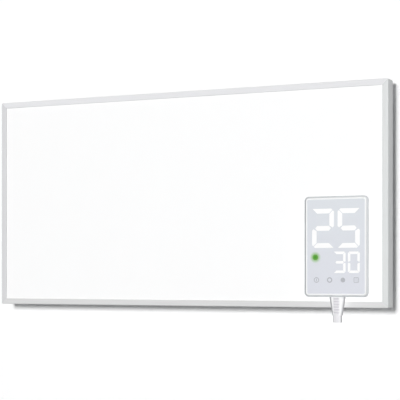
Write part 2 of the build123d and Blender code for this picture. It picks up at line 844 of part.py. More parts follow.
# Insulation board, with pockets for everything that stands in it
board_inset = channel_reach + board_gap
wire_pocket = wire_radius + pocket_gap
with BuildPart() as insulation_board:
    panel_box(board_inset - half_width, half_width - board_inset, board_inset - half_height,
              half_height - board_inset, board_front, sheet_front)
    for front, depth, radius, places in (
        (board_front, nut_length, nut_radius + pocket_gap, base_screw_places),
        (board_front, base_screw_length, base_screw_radius + pocket_gap, base_screw_places),
        (board_front, cut_out_depth, cut_out_radius + pocket_gap, [(cut_out_x, cut_out_z)]),
        (board_front, earth_stud_length, lug_radius + pocket_gap, [(earth_stud_x, earth_stud_z)]),
        (board_front, wire_level, grommet_flange, [(contact_x, contact_level)]),
        (sheet_front - rivet_tail_length, rivet_tail_length, rivet_tail_radius + pocket_gap, rivet_places),
        (sheet_front - bumper_stem_length, bumper_stem_length, bumper_stem_radius + pocket_gap,
         bumper_places),
    ):
        with BuildSketch(panel_plane(front)):
            with Locations(*places):
                Circle(radius)
        extrude(amount=-depth - (pocket_gap if front == board_front else 0), mode=Mode.SUBTRACT)
    for route in (*wire_routes.values(), earth_route):
        corners_flat = [(x, z) for x, z, depth in route]
        for (x_a, z_a), (x_b, z_b) in zip(corners_flat, corners_flat[1:]):
            panel_box(min(x_a, x_b) - wire_pocket, max(x_a, x_b) + wire_pocket, min(z_a, z_b) - wire_pocket,
                      max(z_a, z_b) + wire_pocket, board_front, wire_level + wire_pocket, Mode.SUBTRACT)
save(insulation_board, "insulation_board")

# Back sheet, screwed to the frame's flange, and its screws
with BuildPart() as back_sheet:
    with BuildSketch(panel_plane(sheet_front)):
        Rectangle(panel_width - 2 * plate_inset, panel_height - 2 * plate_inset)
        with Locations(*sheet_screw_places):
            Circle(sheet_screw_radius + screw_gap, mode=Mode.SUBTRACT)
        with Locations(*rivet_places):
            Circle(rivet_radius + screw_gap, mode=Mode.SUBTRACT)
        with Locations(*bumper_places):
            Circle(bumper_stem_radius + screw_gap, mode=Mode.SUBTRACT)
    extrude(amount=-sheet_thickness)
save(back_sheet, "back_sheet")

sheet_screw = screw(sheet_screw_radius, sheet_screw_length, 2 * sheet_screw_radius, sheet_screw_head)
with BuildPart() as back_sheet_screws:
    with Locations(*[on_panel(x, z, panel_depth, towards_wall=True) for x, z in sheet_screw_places]):
        add(sheet_screw)
save(back_sheet_screws, "back_sheet_screws")

# Rubber bumpers that hold the panel's lower edge off the wall
with BuildPart() as wall_bumpers:
    with BuildSketch(panel_plane(panel_depth)):
        with Locations(*bumper_places):
            Circle(bumper_radius)
    extrude(amount=-wall_gap, taper=bumper_taper)
    with BuildSketch(panel_plane(panel_depth)):
        with Locations(*bumper_places):
            Circle(bumper_stem_radius)
    extrude(amount=sheet_thickness + bumper_stem_length)
save(wall_bumpers, "wall_bumpers")

# Base plate on the panel's front: four headed studs carry the controller
with BuildPart() as base_plate:
    with BuildSketch(controller_plane(controller_front - base_front)):
        RectangleRounded(2 * base_half_width, 2 * base_half_height, controller_radius)
        with Locations(*[(side * stud_x, level * base_screw_z) for side, level in corners]):
            Circle(base_screw_radius + screw_gap, mode=Mode.SUBTRACT)
        with Locations((0, contact_z)):
            Rectangle(2 * wire_pitch + 2 * wire_pocket, contact_window_height, mode=Mode.SUBTRACT)
    extrude(amount=-base_thickness)
    stud_reach = base_gap + shell_wall + stud_gap
    with BuildSketch(controller_plane(controller_front - base_front)):
        with Locations(*stud_places):
            Circle(stud_radius)
    extrude(amount=stud_reach)
    with BuildSketch(controller_plane(controller_front - base_front - stud_reach)):
        with Locations(*stud_places):
            Circle(stud_head_radius)
    extrude(amount=stud_head_height)
    with Locations(*[on_panel(x, z, front_distance - base_front) for x, z in base_screw_places]):
        CounterSinkHole(base_screw_radius + screw_gap, base_screw_head + screw_gap, base_thickness)
save(base_plate, "base_plate")

with BuildPart() as base_plate_pads:
    with BuildSketch(panel_plane(plate_front)):
        with Locations(*base_screw_places):
            Circle(pad_radius)
            Circle(base_screw_radius + screw_gap, mode=Mode.SUBTRACT)
    extrude(amount=pad_thickness)
save(base_plate_pads, "base_plate_pads")

with BuildPart() as base_plate_screws:
    with Locations(*[on_panel(x, z, front_distance - base_front) for x, z in base_screw_places]):
        Cylinder(
            base_screw_radius,
            base_thickness + pad_thickness + base_screw_length,
            align=(Align.CENTER, Align.CENTER, Align.MAX),
        )
        Cone(0, base_screw_head, base_screw_head, align=(Align.CENTER, Align.CENTER, Align.MAX))
        Box(2 * base_screw_radius, slot_width, 2 * slot_depth, mode=Mode.SUBTRACT)
        Box(slot_width, 2 * base_screw_radius, 2 * slot_depth, mode=Mode.SUBTRACT)
save(base_plate_screws, "base_plate_screws")

# Contact block on the base, with open slots for the controller's three blades
contact_rear = controller_front - base_front
contact_front = contact_rear - contact_length
contact_columns = [step * contact_pitch for step in (-1, 0, 1)]
slot_low = contact_z - contact_height / 2 + contact_floor
slot_high = contact_z + contact_height / 2
with BuildPart() as contact_block:
    controller_box(-contact_width / 2, contact_width / 2, contact_z - contact_height / 2, slot_high,
                   contact_front, contact_rear)
    for column in contact_columns:
        controller_box(column - contact_slot / 2, column + contact_slot / 2, slot_low,
                       slot_high + cut_margin, contact_front - cut_margin,
                       contact_front + contact_slot_depth, Mode.SUBTRACT)
        controller_box(column - spring_width, column + spring_width, slot_low,
                       contact_z + blade_height / 2, contact_front + contact_slot_depth - cut_margin,
                       contact_rear - contact_floor, Mode.SUBTRACT)
save(contact_block, "contact_block")

# Contact springs at the bottom of the block's slots, one to a blade
with BuildPart() as contact_springs:
    for column in contact_columns:
        controller_box(column - spring_width, column + spring_width, slot_low,
                       contact_z + blade_height / 2, contact_front + contact_slot_depth,
                       contact_rear - contact_floor)
save(contact_springs, "contact_springs")

# Controller back shell: a tray that narrows towards the panel
with BuildPart() as back_shell:
    with BuildSketch(controller_plane(0)):
        RectangleRounded(2 * rim_half_width, 2 * rim_half_height, rim_radius)
    extrude(amount=-rim_depth)
    with BuildSketch(controller_plane(rim_depth)):
        RectangleRounded(2 * rim_half_width, 2 * rim_half_height, rim_radius)
    with BuildSketch(controller_plane(controller_depth)):
        RectangleRounded(2 * back_half_width, 2 * back_half_height, rim_radius)
    loft()
    rim_face = back_shell.faces().sort_by(Axis.Y)[0]
    fillet(rim_face.outer_wire().edges(), rim_round)
    with BuildSketch(controller_plane(0)):
        RectangleRounded(controller_width + 2 * shell_gap, controller_height + 2 * shell_gap,
                         controller_radius + shell_gap)
    extrude(amount=-rim_depth, mode=Mode.SUBTRACT)
    with BuildSketch(controller_plane(rim_depth)):
        RectangleRounded(2 * cavity_half_width, 2 * cavity_half_height, controller_radius)
    with BuildSketch(controller_plane(cavity_back)):
        RectangleRounded(2 * (cavity_half_width - cavity_inset), 2 * (cavity_half_height - cavity_inset),
                         controller_radius)
    loft(mode=Mode.SUBTRACT)
    with BuildSketch(controller_plane(cavity_back)):
        with Locations(*[(side * post_x, level) for side in (-1, 1) for level in post_levels]):
            Circle(post_radius)
        with Locations(*[(side * clamp_screw_x, clamp_level) for side in (-1, 1)]):
            Circle(clamp_boss_radius)
    extrude(amount=cavity_back - board_rear)
    with BuildSketch(controller_plane(board_rear)):
        with Locations(*[(side * clamp_screw_x, clamp_level) for side in (-1, 1)]):
            Circle(clamp_boss_radius)
    extrude(amount=board_rear - clamp_back)
    with Locations(*[on_controller(side * post_x, level, controller_depth, towards_wall=True)
                     for side in (-1, 1) for level in post_levels]):
        CounterBoreHole(housing_screw_radius + screw_gap, housing_head_radius + screw_gap,
                        housing_head_recess, controller_depth)
    with Locations(*[on_controller(side * clamp_screw_x, clamp_level, clamp_back) for side in (-1, 1)]):
        Hole(clamp_screw_radius + screw_gap, clamp_screw_length)
    with BuildSketch(controller_plane(controller_depth)):
        with Locations(*stud_places):
            SlotCenterPoint((0, 0), (0, stud_radius), 2 * (stud_radius + seat_gap))
        with Locations(*[(x, z - unhook_travel) for x, z in stud_places]):
            Circle(stud_head_radius + stud_gap)
            Rectangle(2 * (stud_radius + seat_gap), unhook_travel, align=(Align.CENTER, Align.MIN))
        with Locations((0, contact_z)):
            Rectangle(contact_width + 2 * contact_gap, contact_height + 2 * (unhook_travel + contact_gap))
    extrude(amount=shell_wall, mode=Mode.SUBTRACT)
    controller_box(-relief_collar_width / 2 - shell_gap, relief_collar_width / 2 + shell_gap,
                   -rim_half_height - cut_margin, cavity_inset - cavity_half_height,
                   relief_level - relief_collar_depth / 2 - shell_gap,
                   relief_level + relief_collar_depth / 2 + shell_gap, Mode.SUBTRACT)
    with Locations(*[(controller_x + vent_x + step * vent_pitch, relief_level - controller_front,
                      controller_z - rim_half_height) for step in range(vent_slots)]):
        Box(vent_width, vent_depth, 2 * (side_wall + cavity_inset), mode=Mode.SUBTRACT)
save(back_shell, "back_shell")

# Controller front shell: the white bezel, the face's ledge and blocks for the housing screws
with BuildPart() as front_shell:
    with BuildSketch(controller_plane(0)):
        RectangleRounded(controller_width, controller_height, controller_radius)
    extrude(amount=-rim_depth)
    with BuildSketch(controller_plane(0)):
        RectangleRounded(face_width, face_height, controller_radius - bezel_width)
    extrude(amount=-face_back, mode=Mode.SUBTRACT)
    opening_face = front_shell.faces().sort_by(Axis.Y)[0]
    chamfer(opening_face.inner_wires()[0].edges(), bezel_bevel)
    with BuildSketch(controller_plane(face_back)):
        Rectangle(face_width - 2 * face_ledge, face_height - 2 * face_ledge)
    extrude(amount=face_back - rim_depth, mode=Mode.SUBTRACT)
    block_end = face_width / 2 - face_ledge + block_bite
    for side in (-1, 1):
        for level in post_levels:
            left, right = sorted((side * (post_x - post_radius), side * block_end))
            controller_box(left, right, level - post_radius, level + post_radius, face_back, board_level)
    with Locations(*[on_controller(side * post_x, level, board_level, towards_wall=True)
                     for side in (-1, 1) for level in post_levels]):
        Hole(housing_screw_radius + screw_gap, guide_depth - housing_screw_floor)
save(front_shell, "front_shell")

# Face: a tinted sheet with shallow pockets for the lit digits and the icons
with BuildSketch() as icon_shapes:
    power_x, ring_x, disc_x, calendar_x = icon_places_x
    with Locations((power_x, icon_z)):
        Circle(icon_radius)
        Circle(icon_radius - icon_line, mode=Mode.SUBTRACT)
        Rectangle(icon_line, icon_radius)
    with Locations((ring_x, icon_z)):
        Circle(icon_radius)
        Circle(icon_radius - icon_heavy_line, mode=Mode.SUBTRACT)
    with Locations((disc_x, icon_z)):
        Circle(icon_radius - icon_line / 2)
    with Locations((calendar_x, icon_z)):
        RectangleRounded(2 * icon_radius, 2 * icon_radius, 2 * calendar_line)
        RectangleRounded(2 * (icon_radius - calendar_line), 2 * (icon_radius - calendar_line),
                         calendar_line, mode=Mode.SUBTRACT)
        with GridLocations(calendar_pitch, calendar_pitch, calendar_dots, calendar_dots):
            Rectangle(calendar_line, calendar_line)

lit_outlines = {
    label: [
        shift_outline(outline, left, bottom)
        for digit, left in zip(text, lefts)
        for outline in seven_segments(*size, gap, lit_bars[digit])
    ]
    for label, (size, gap, text, lefts, bottom) in digit_rows.items()
}
with BuildPart() as face_panel:
    with BuildSketch(controller_plane(face_recess)):
        RectangleRounded(face_width - 2 * status_gap, face_height - 2 * status_gap,
                         controller_radius - bezel_width)
        with Locations((status_x, status_z)):
            Circle(status_radius + status_gap, mode=Mode.SUBTRACT)
    extrude(amount=-face_thickness)
    for outline in (*lit_outlines["large_digits"], *lit_outlines["small_digits"]):
        with BuildSketch(controller_plane(face_recess)):
            with BuildLine():
                Polyline(*outline, close=True)
            make_face()
        extrude(amount=-inlay_depth, mode=Mode.SUBTRACT)
    with BuildSketch(controller_plane(face_recess)):
        add(icon_shapes.sketch)
    extrude(amount=-inlay_depth, mode=Mode.SUBTRACT)
save(face_panel, "face_panel")

# Lit bars of the display, flush with the face
for label, outlines in lit_outlines.items():
    with BuildPart() as digits:
        for outline in outlines:
            with BuildSketch(controller_plane(face_recess)):
                with BuildLine():
                    Polyline(*outline, close=True)
                make_face()
            extrude(amount=-inlay_depth)
    save(digits, label)

with BuildPart() as touch_icons:
    with BuildSketch(controller_plane(face_recess)):
        add(icon_shapes.sketch)
    extrude(amount=-inlay_depth)
save(touch_icons, "touch_icons")

with BuildPart() as status_lens:
    with BuildSketch(controller_plane(face_recess - inlay_depth)):
        with Locations((status_x, status_z)):
            Circle(status_radius)
    extrude(amount=-inlay_depth - face_thickness)
    fillet(status_lens.edges().group_by(Axis.Y)[0], lens_round)
save(status_lens, "status_lens")

# Light guide: a block with one cavity to a bar, between the face and the circuit board
cavities = [
    shift_outline(outline, left, bottom)
    for size, gap, text, lefts, bottom in digit_rows.values()
    for left in lefts
    for outline in seven_segments(*size, gap + guide_wall, every_bar)
]
with BuildPart() as light_guide:
    controller_box(-guide_half_width, guide_half_width, display_bottom - guide_edge,
                   display_top + guide_edge, face_back, board_level)
    for outline in cavities:
        with BuildSketch(controller_plane(face_back)):
            with BuildLine():
                Polyline(*outline, close=True)
            make_face()
        extrude(amount=-guide_depth, mode=Mode.SUBTRACT)
    with Locations(on_controller(status_x, status_z, face_back)):
        Hole(status_radius - guide_wall, guide_depth)
save(light_guide, "light_guide")

# Display LEDs: one in each cavity, on the circuit board
led_places = [
    (sum(x for x, z in outline) / len(outline), sum(z for x, z in outline) / len(outline))
    for outline in cavities
]
led_places.append((status_x, status_z))
with BuildPart() as display_leds:
    for x, z in led_places:
        controller_box(x - led_width / 2, x + led_width / 2, z - led_width / 2, z + led_width / 2,
                       board_level - led_height, board_level)
save(display_leds, "display_leds")

# Touch pads: springy foam between the circuit board and the face behind each icon
with BuildPart() as touch_pads:
    with BuildSketch(controller_plane(face_back)):
        with Locations(*[(x, icon_z) for x in icon_places_x]):
            Circle(touch_pad_radius)
    extrude(amount=-guide_depth)
save(touch_pads, "touch_pads")

# Circuit board, held between the back shell's bosses and the front shell's blocks
with BuildPart() as circuit_board:
    controller_box(-circuit_board_half_width, circuit_board_half_width, circuit_board_bottom,
                   circuit_board_top, board_level, board_rear)
    fillet(circuit_board.edges().filter_by(Axis.Y), controller_radius)
    with Locations(*[on_controller(side * post_x, level, board_rear, towards_wall=True)
                     for side in (-1, 1) for level in post_levels]):
        Hole(housing_screw_radius + screw_gap, board_thickness)
save(circuit_board, "circuit_board")

# What stands on the board's rear face: how far along its width and height, and three sizes
board_parts = {
    "relay": (0.5, 0.26, 28.0, 15.0, 5.1),
    "film_capacitor": (0.5, 0.82, 18.0, 11.0, 5.4),
    "control_chip": (0.2, 0.38, 10.0, 10.0, 1.4),
}
for label, (share_x, share_z, width, height, depth) in board_parts.items():
    x = circuit_board_half_width * (2 * share_x - 1)
    z = circuit_board_bottom + share_z * circuit_board_height
    with BuildPart() as component:
        controller_box(x - width / 2, x + width / 2, z - height / 2, z + height / 2,
                       board_rear, board_rear + depth)
        fillet(component.edges().filter_by(Axis.Y), component_round)
        chamfer(component.edges().group_by(Axis.Y)[-1], component_round / 2)
    save(component, label)

with BuildPart() as contact_blades:
    for column in contact_columns:
        controller_box(column - blade_thickness / 2, column + blade_thickness / 2,
                       contact_z - blade_height / 2, contact_z + blade_height / 2,
                       board_rear, contact_front + blade_bite)
save(contact_blades, "contact_blades")

terminal_columns = [step * terminal_pitch for step in (-1, 0, 1)]
terminal_back = board_rear + terminal_depth
terminal_low = terminal_z - terminal_height / 2
with BuildPart() as mains_terminal_block:
    controller_box(-terminal_width / 2, terminal_width / 2, terminal_low, terminal_low + terminal_height,
                   board_rear, terminal_back)
    with Locations(*[on_controller(column, terminal_z, terminal_back, towards_wall=True)
                     for column in terminal_columns]):
        Hole(terminal_screw_radius + screw_gap, terminal_screw_length)
    with Locations(*[Location((controller_x + column, (board_rear + terminal_back) / 2 - controller_front,
                               controller_z + terminal_low), (180, 0, 0)) for column in terminal_columns]):
        Hole(terminal_entry_radius, terminal_entry_depth)
save(mains_terminal_block, "mains_terminal_block")

with BuildPart() as terminal_screws:
    with Locations(*[on_controller(column, terminal_z, terminal_back, towards_wall=True)
                     for column in terminal_columns]):
        Cylinder(terminal_screw_radius, terminal_screw_length, align=(Align.CENTER, Align.CENTER, Align.MAX))
        Box(2 * terminal_screw_radius, slot_width, 2 * slot_depth, mode=Mode.SUBTRACT)
save(terminal_screws, "terminal_screws")

# Temperature sensor: a bead on two legs below the circuit board, beside the vent slots
sensor_y = (board_level + board_rear) / 2 - controller_front
with BuildPart() as temperature_sensor:
    with Locations((controller_x + sensor_x, sensor_y, controller_z + sensor_z)):
        Cylinder(sensor_radius, 2 * sensor_radius)
    fillet(temperature_sensor.edges(), sensor_radius / 2)
    for side in (-1, 1):
        with Locations((controller_x + sensor_x + side * sensor_radius / 2, sensor_y,
                        controller_z + circuit_board_bottom)):
            Cylinder(sensor_leg_radius, circuit_board_bottom - sensor_z,
                     align=(Align.CENTER, Align.CENTER, Align.MAX))
save(temperature_sensor, "temperature_sensor")

# Screws that hold the two shells together, from the back
housing_screw = screw(
    housing_screw_radius,
    controller_depth - housing_head_recess - face_back - housing_screw_floor,
    housing_head_radius,
    housing_head_height,
)
with BuildPart() as housing_screws:
    with Locations(*[on_controller(side * post_x, level, controller_depth - housing_head_recess,
                                   towards_wall=True) for side in (-1, 1) for level in post_levels]):
        add(housing_screw)
save(housing_screws, "housing_screws")

# Strain relief: a ribbed taper outside the case, a collar through its wall and a flange inside
relief_y = relief_level - controller_front
relief_top = controller_z - rim_half_height - seat_gap
relief_back = relief_level + relief_collar_depth / 2
wall_slope = cavity_inset / (cavity_back - rim_depth)
flange_low = controller_z - cavity_half_height + wall_slope * (relief_back - rim_depth) + seat_gap
with BuildPart() as strain_relief:
    with BuildSketch(Plane(origin=(controller_x, relief_y, relief_top))):
        Ellipse(relief_top_width / 2, relief_top_depth / 2)
    with BuildSketch(Plane(origin=(controller_x, relief_y, relief_top - relief_taper))):
        Ellipse(relief_end_width / 2, relief_end_depth / 2)
    loft()
    with BuildSketch(Plane(origin=(controller_x, relief_y, relief_top - relief_taper))):
        Circle(relief_neck_radius)
    extrude(amount=-relief_neck_length)
    with BuildSketch(Plane(origin=(controller_x, relief_y, relief_top))):
        Rectangle(relief_collar_width, relief_collar_depth)
    extrude(amount=flange_low - relief_top)
    with BuildSketch(Plane(origin=(controller_x, relief_y, flange_low))):
        Rectangle(relief_flange_width, relief_collar_depth)
    extrude(amount=relief_flange_thickness)
    for step in range(relief_ribs):
        level = relief_top - rib_start - rib_pitch * step
        share = (relief_top - level) / relief_taper
        half_depth = (relief_top_depth + share * (relief_end_depth - relief_top_depth)) / 2
        for side in (-1, 1):
            with Locations((controller_x, relief_y + side * half_depth, level)):
                Box(rib_width, 2 * rib_groove, rib_slot, mode=Mode.SUBTRACT)
    with Locations(Location((controller_x, relief_y, flange_low + relief_flange_thickness))):
        Hole(relief_bore)
save(strain_relief, "strain_relief")

# Lead clamp across the case's bottom, and its two screws
with BuildPart() as lead_clamp:
    controller_box(-clamp_width / 2, clamp_width / 2, clamp_level - clamp_height / 2,
                   clamp_level + clamp_height / 2, clamp_front, clamp_back)
    fillet(lead_clamp.edges().filter_by(Axis.Y), component_round)
    with Locations(*[on_controller(side * clamp_screw_x, clamp_level, clamp_front) for side in (-1, 1)]):
        CounterBoreHole(clamp_screw_radius + screw_gap, clamp_head_radius + screw_gap, clamp_head_recess,
                        clamp_thickness)
save(lead_clamp, "lead_clamp")

clamp_screw = screw(clamp_screw_radius, clamp_thickness - clamp_head_recess + clamp_screw_length,
                    clamp_head_radius, clamp_head_height)
with BuildPart() as clamp_screws:
    with Locations(*[on_controller(side * clamp_screw_x, clamp_level, clamp_front + clamp_head_recess)
                     for side in (-1, 1)]):
        add(clamp_screw)
save(clamp_screws, "clamp_screws")
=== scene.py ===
import bpy
import json
import numpy as np
from math import pi, radians
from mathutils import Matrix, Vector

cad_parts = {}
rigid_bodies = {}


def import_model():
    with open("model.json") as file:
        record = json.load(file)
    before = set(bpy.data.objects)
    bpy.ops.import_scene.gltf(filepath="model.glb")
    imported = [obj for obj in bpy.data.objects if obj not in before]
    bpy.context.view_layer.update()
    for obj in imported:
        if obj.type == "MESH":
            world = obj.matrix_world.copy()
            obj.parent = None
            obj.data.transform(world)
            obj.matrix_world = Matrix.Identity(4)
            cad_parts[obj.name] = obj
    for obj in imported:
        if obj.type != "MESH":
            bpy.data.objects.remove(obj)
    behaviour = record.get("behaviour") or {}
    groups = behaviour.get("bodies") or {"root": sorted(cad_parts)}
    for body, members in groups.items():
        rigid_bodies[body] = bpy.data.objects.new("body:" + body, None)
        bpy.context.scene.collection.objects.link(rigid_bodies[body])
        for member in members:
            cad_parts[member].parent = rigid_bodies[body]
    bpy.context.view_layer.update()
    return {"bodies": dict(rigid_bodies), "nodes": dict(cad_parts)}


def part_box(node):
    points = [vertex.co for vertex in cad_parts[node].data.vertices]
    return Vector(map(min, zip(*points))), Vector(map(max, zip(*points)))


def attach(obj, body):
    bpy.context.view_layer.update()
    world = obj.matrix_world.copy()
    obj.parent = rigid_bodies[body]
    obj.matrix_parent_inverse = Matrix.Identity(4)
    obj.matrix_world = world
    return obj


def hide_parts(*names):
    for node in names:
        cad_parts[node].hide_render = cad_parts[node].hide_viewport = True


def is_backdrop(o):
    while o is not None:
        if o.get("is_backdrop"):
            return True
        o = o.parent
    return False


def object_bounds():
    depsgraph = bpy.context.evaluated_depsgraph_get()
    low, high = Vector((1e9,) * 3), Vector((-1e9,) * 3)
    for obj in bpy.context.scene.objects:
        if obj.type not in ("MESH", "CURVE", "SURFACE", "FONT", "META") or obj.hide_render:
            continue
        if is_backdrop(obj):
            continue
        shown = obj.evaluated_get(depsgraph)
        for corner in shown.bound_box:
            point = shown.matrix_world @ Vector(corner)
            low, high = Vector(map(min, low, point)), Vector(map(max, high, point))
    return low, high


# Infrared panel heater on a wall, in metres and in the model's own frame: the wall is y = 0, the room is -y
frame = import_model()
mm = 0.001
print("frame loaded:", len(frame["nodes"]), "nodes")

# Level with the control box and to the panel's right, with the picture shifted up to the panel
view = {
    "place": (0.822, -1.706, -0.185),
    "turn": 25.4,  # degrees, to the left of straight at the wall
    "lens": 119.73,
    "sensor": 36.0,
    "shiftUp": 0.1842,
    "farthest": 50.0,
}
cameraData = bpy.data.cameras.new("camera")
cameraData.lens = view["lens"]
cameraData.sensor_width = view["sensor"]
cameraData.shift_y = view["shiftUp"]
cameraData.clip_end = view["farthest"]
camera = bpy.data.objects.new("camera", cameraData)
camera.location = view["place"]
camera.rotation_euler = (radians(90), 0, radians(view["turn"]))
bpy.context.scene.collection.objects.link(camera)
bpy.context.scene.camera = camera
bpy.context.scene.view_settings.view_transform = "Standard"
print("camera ready")


def toLinear(hexColour):
    # sRGB hex to linear RGBA: c / 12.92 up to 0.04045, else ((c + 0.055) / 1.055) ** 2.4
    c = np.array([int(hexColour[i:i + 2], 16) / 255 for i in (1, 3, 5)])
    linear = np.where(c <= 0.04045, c / 12.92, ((c + 0.055) / 1.055) ** 2.4)
    return (*linear, 1.0)


def perMm(size):
    # the texture scale whose features are this many millimetres across
    return 1 / (size * mm)


def setInputs(tree, node, inputs):
    # an input takes a fixed value, or is linked from another node's output, given as (node, output)
    for name, value in inputs.items():
        if isinstance(value, tuple) and isinstance(value[0], bpy.types.Node):
            tree.links.new(value[0].outputs[value[1]], node.inputs[name])
        else:
            node.inputs[name].default_value = value


def addNode(tree, kind, inputs={}, stops=(), **settings):
    # one node with its settings and links; a colour ramp's stops are (place, hex colour) pairs
    node = tree.nodes.new(kind)
    for name, value in settings.items():
        setattr(node, name, value)
    for order, (place, hexColour) in enumerate(stops):
        ramp = node.color_ramp.elements
        stop = ramp[order] if order < 2 else ramp.new(place)
        stop.position = place
        stop.color = toLinear(hexColour)
    setInputs(tree, node, inputs)
    return node


def tones(look, low=0.3, high=0.7):
    # a colour ramp's stops, from the dull tone to the full one over the range that most noise values fall in
    return [(low, look["dull"]), (high, look["colour"])]


def around(level, spread):
    # what a Map Range node puts out, from this far below the level to this far above it
    return {"To Min": level - spread, "To Max": level + spread}


def startMaterial(name, look):
    # a Principled surface with the look's fixed values on its own sockets, and the object coordinates
    material = bpy.data.materials.new(name)
    material.use_nodes = True
    tree = material.node_tree
    surface = tree.nodes["Principled BSDF"]
    sockets = {"roughness": "Roughness", "metallic": "Metallic", "ior": "IOR", "coat": "Coat Weight",
               "coatRoughness": "Coat Roughness", "glow": "Emission Strength"}
    setInputs(tree, surface, {sockets[key]: look[key] for key in sockets if key in look})
    surface.inputs["Base Color"].default_value = toLinear(look["colour"])
    place = (addNode(tree, "ShaderNodeTexCoord"), "Object")
    return material, tree, surface, place


def gridFaces(rows, columns, wrapRows=False, wrapColumns=False, start=0):
    # quads of a grid of points: (r, c), (r, c + 1), (r + 1, c + 1), (r + 1, c), closed round where it wraps
    r, c = np.indices((rows - (not wrapRows), columns - (not wrapColumns)))
    nextR, nextC = (r + 1) % rows, (c + 1) % columns
    quads = [r * columns + c, r * columns + nextC, nextR * columns + nextC, nextR * columns + c]
    return (start + np.stack(quads, -1).reshape(-1, 4)).tolist()


def makePiece(name, points, faces, material, body, replaced, sharpAbove=40):
    # a closed mesh turned to face outwards, smooth except at edges sharper than the angle given. The sum of
    # a . (b x c) over its triangles is six times the volume, below zero where the faces point inwards
    mesh = bpy.data.meshes.new(name)
    mesh.from_pydata(np.asarray(points).reshape(-1, 3), [], faces)
    mesh.update()
    coordinates = np.empty(len(mesh.vertices) * 3)
    mesh.vertices.foreach_get("co", coordinates)
    mesh.calc_loop_triangles()
    corners = np.empty(len(mesh.loop_triangles) * 3, int)
    mesh.loop_triangles.foreach_get("vertices", corners)
    a, b, c = coordinates.reshape(-1, 3)[corners.reshape(-1, 3)].transpose(1, 0, 2)
    if (a * np.cross(b, c)).sum() < 0:
        mesh.flip_normals()
    mesh.shade_smooth()
    mesh.set_sharp_from_angle(angle=radians(sharpAbove))
    mesh.materials.append(material)
    piece = bpy.data.objects.new(name, mesh)
    bpy.context.scene.collection.objects.link(piece)
    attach(piece, body)
    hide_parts(*replaced)
    return piece


def roundedSection(corners, steps=7):
    # a section whose corners, given as (in, deep, radius), become arcs. An arc's centre lies
    # radius / sin(half angle) along the corner's bisector, and its points turn evenly between tangent points
    p, r = np.array(corners, float)[:, :2] * mm, np.array(corners, float)[:, 2:] * mm
    u, v = np.roll(p, 1, 0) - p, np.roll(p, -1, 0) - p
    u, v = u / np.linalg.norm(u, axis=1)[:, None], v / np.linalg.norm(v, axis=1)[:, None]
    half = np.arccos((u * v).sum(1))[:, None] / 2
    centre = p + (u + v) / np.linalg.norm(u + v, axis=1)[:, None] * r / np.sin(half)
    first, last = p + u * r / np.tan(half) - centre, p + v * r / np.tan(half) - centre
    turn = (pi - 2 * half)[:, None]
    s = np.linspace(0, 1, steps)[None, :, None]
    arc = (np.sin((1 - s) * turn) * first[:, None] + np.sin(s * turn) * last[:, None]) / np.sin(turn)
    return (centre[:, None] + arc).reshape(-1, 2).T


def roundedLoops(halfWidth, halfHeight, radius, inset, steps=9):
    # a rounded rectangle's outline at each inset, anticlockwise from its upper right corner: the corner's
    # centre plus (radius - inset) times (cos, sin) of an angle that makes a quarter turn at each corner
    turn = ((np.arange(4)[:, None] + np.linspace(0, 1, steps)) * pi / 2).ravel()
    sideX, sideZ = np.repeat([1, -1, -1, 1], steps), np.repeat([1, 1, -1, -1], steps)
    inset = inset[:, None]
    centreInset, bend = np.maximum(radius, inset), np.maximum(radius - inset, 0)
    x = sideX * (halfWidth - centreInset) + bend * np.cos(turn)
    z = sideZ * (halfHeight - centreInset) + bend * np.sin(turn)
    return x, z


def turnedPiece(profile, centre, steps=40, start=0):
    # a round piece about an axis along y: (x, y, z) = centre + (r cos t, -depth, r sin t), with a small flat
    # face at each pole
    r, depth = np.array(profile, float).T[:, :, None] * mm
    t = np.linspace(0, 2 * pi, steps, endpoint=False)
    points = np.array(centre) + np.stack([r * np.cos(t), 0 * t - depth, r * np.sin(t)], -1)
    faces = gridFaces(len(profile), steps, wrapColumns=True, start=start)
    pole = np.arange(start, start + steps)
    faces += [pole.tolist(), (pole[::-1] + (len(profile) - 1) * steps).tolist()]
    return points.reshape(-1, 3), faces


def middle(node):
    # the centre of a CAD node's box
    low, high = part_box(node)
    return (np.array(low) + np.array(high)) / 2


def anodisedAluminium(name, look, along):
    # extruded aluminium, satin anodised: faint die lines run along the bar, in its colour, gloss and relief
    material, tree, surface, place = startMaterial(name, look)
    scale = [perMm(look["linePitch"])] * 3
    scale["xyz".index(along)] = perMm(look["lineLength"])
    drawn = addNode(tree, "ShaderNodeMapping", {"Vector": place, "Scale": scale})
    lines = addNode(tree, "ShaderNodeTexNoise", {"Vector": (drawn, "Vector"), "Scale": 1.0, "Detail": 3.0})
    tint = addNode(tree, "ShaderNodeValToRGB", {"Fac": (lines, "Fac")}, stops=tones(look))
    satin = addNode(tree, "ShaderNodeMapRange",
                    {"Value": (lines, "Fac")} | around(look["roughness"], look["satinSpread"]))
    relief = addNode(tree, "ShaderNodeBump", {"Height": (lines, "Fac"), "Strength": look["relief"],
                                              "Distance": look["lineDepth"] * mm})
    setInputs(tree, surface, {"Base Color": (tint, "Color"), "Roughness": (satin, "Result"),
                              "Normal": (relief, "Normal")})
    return material


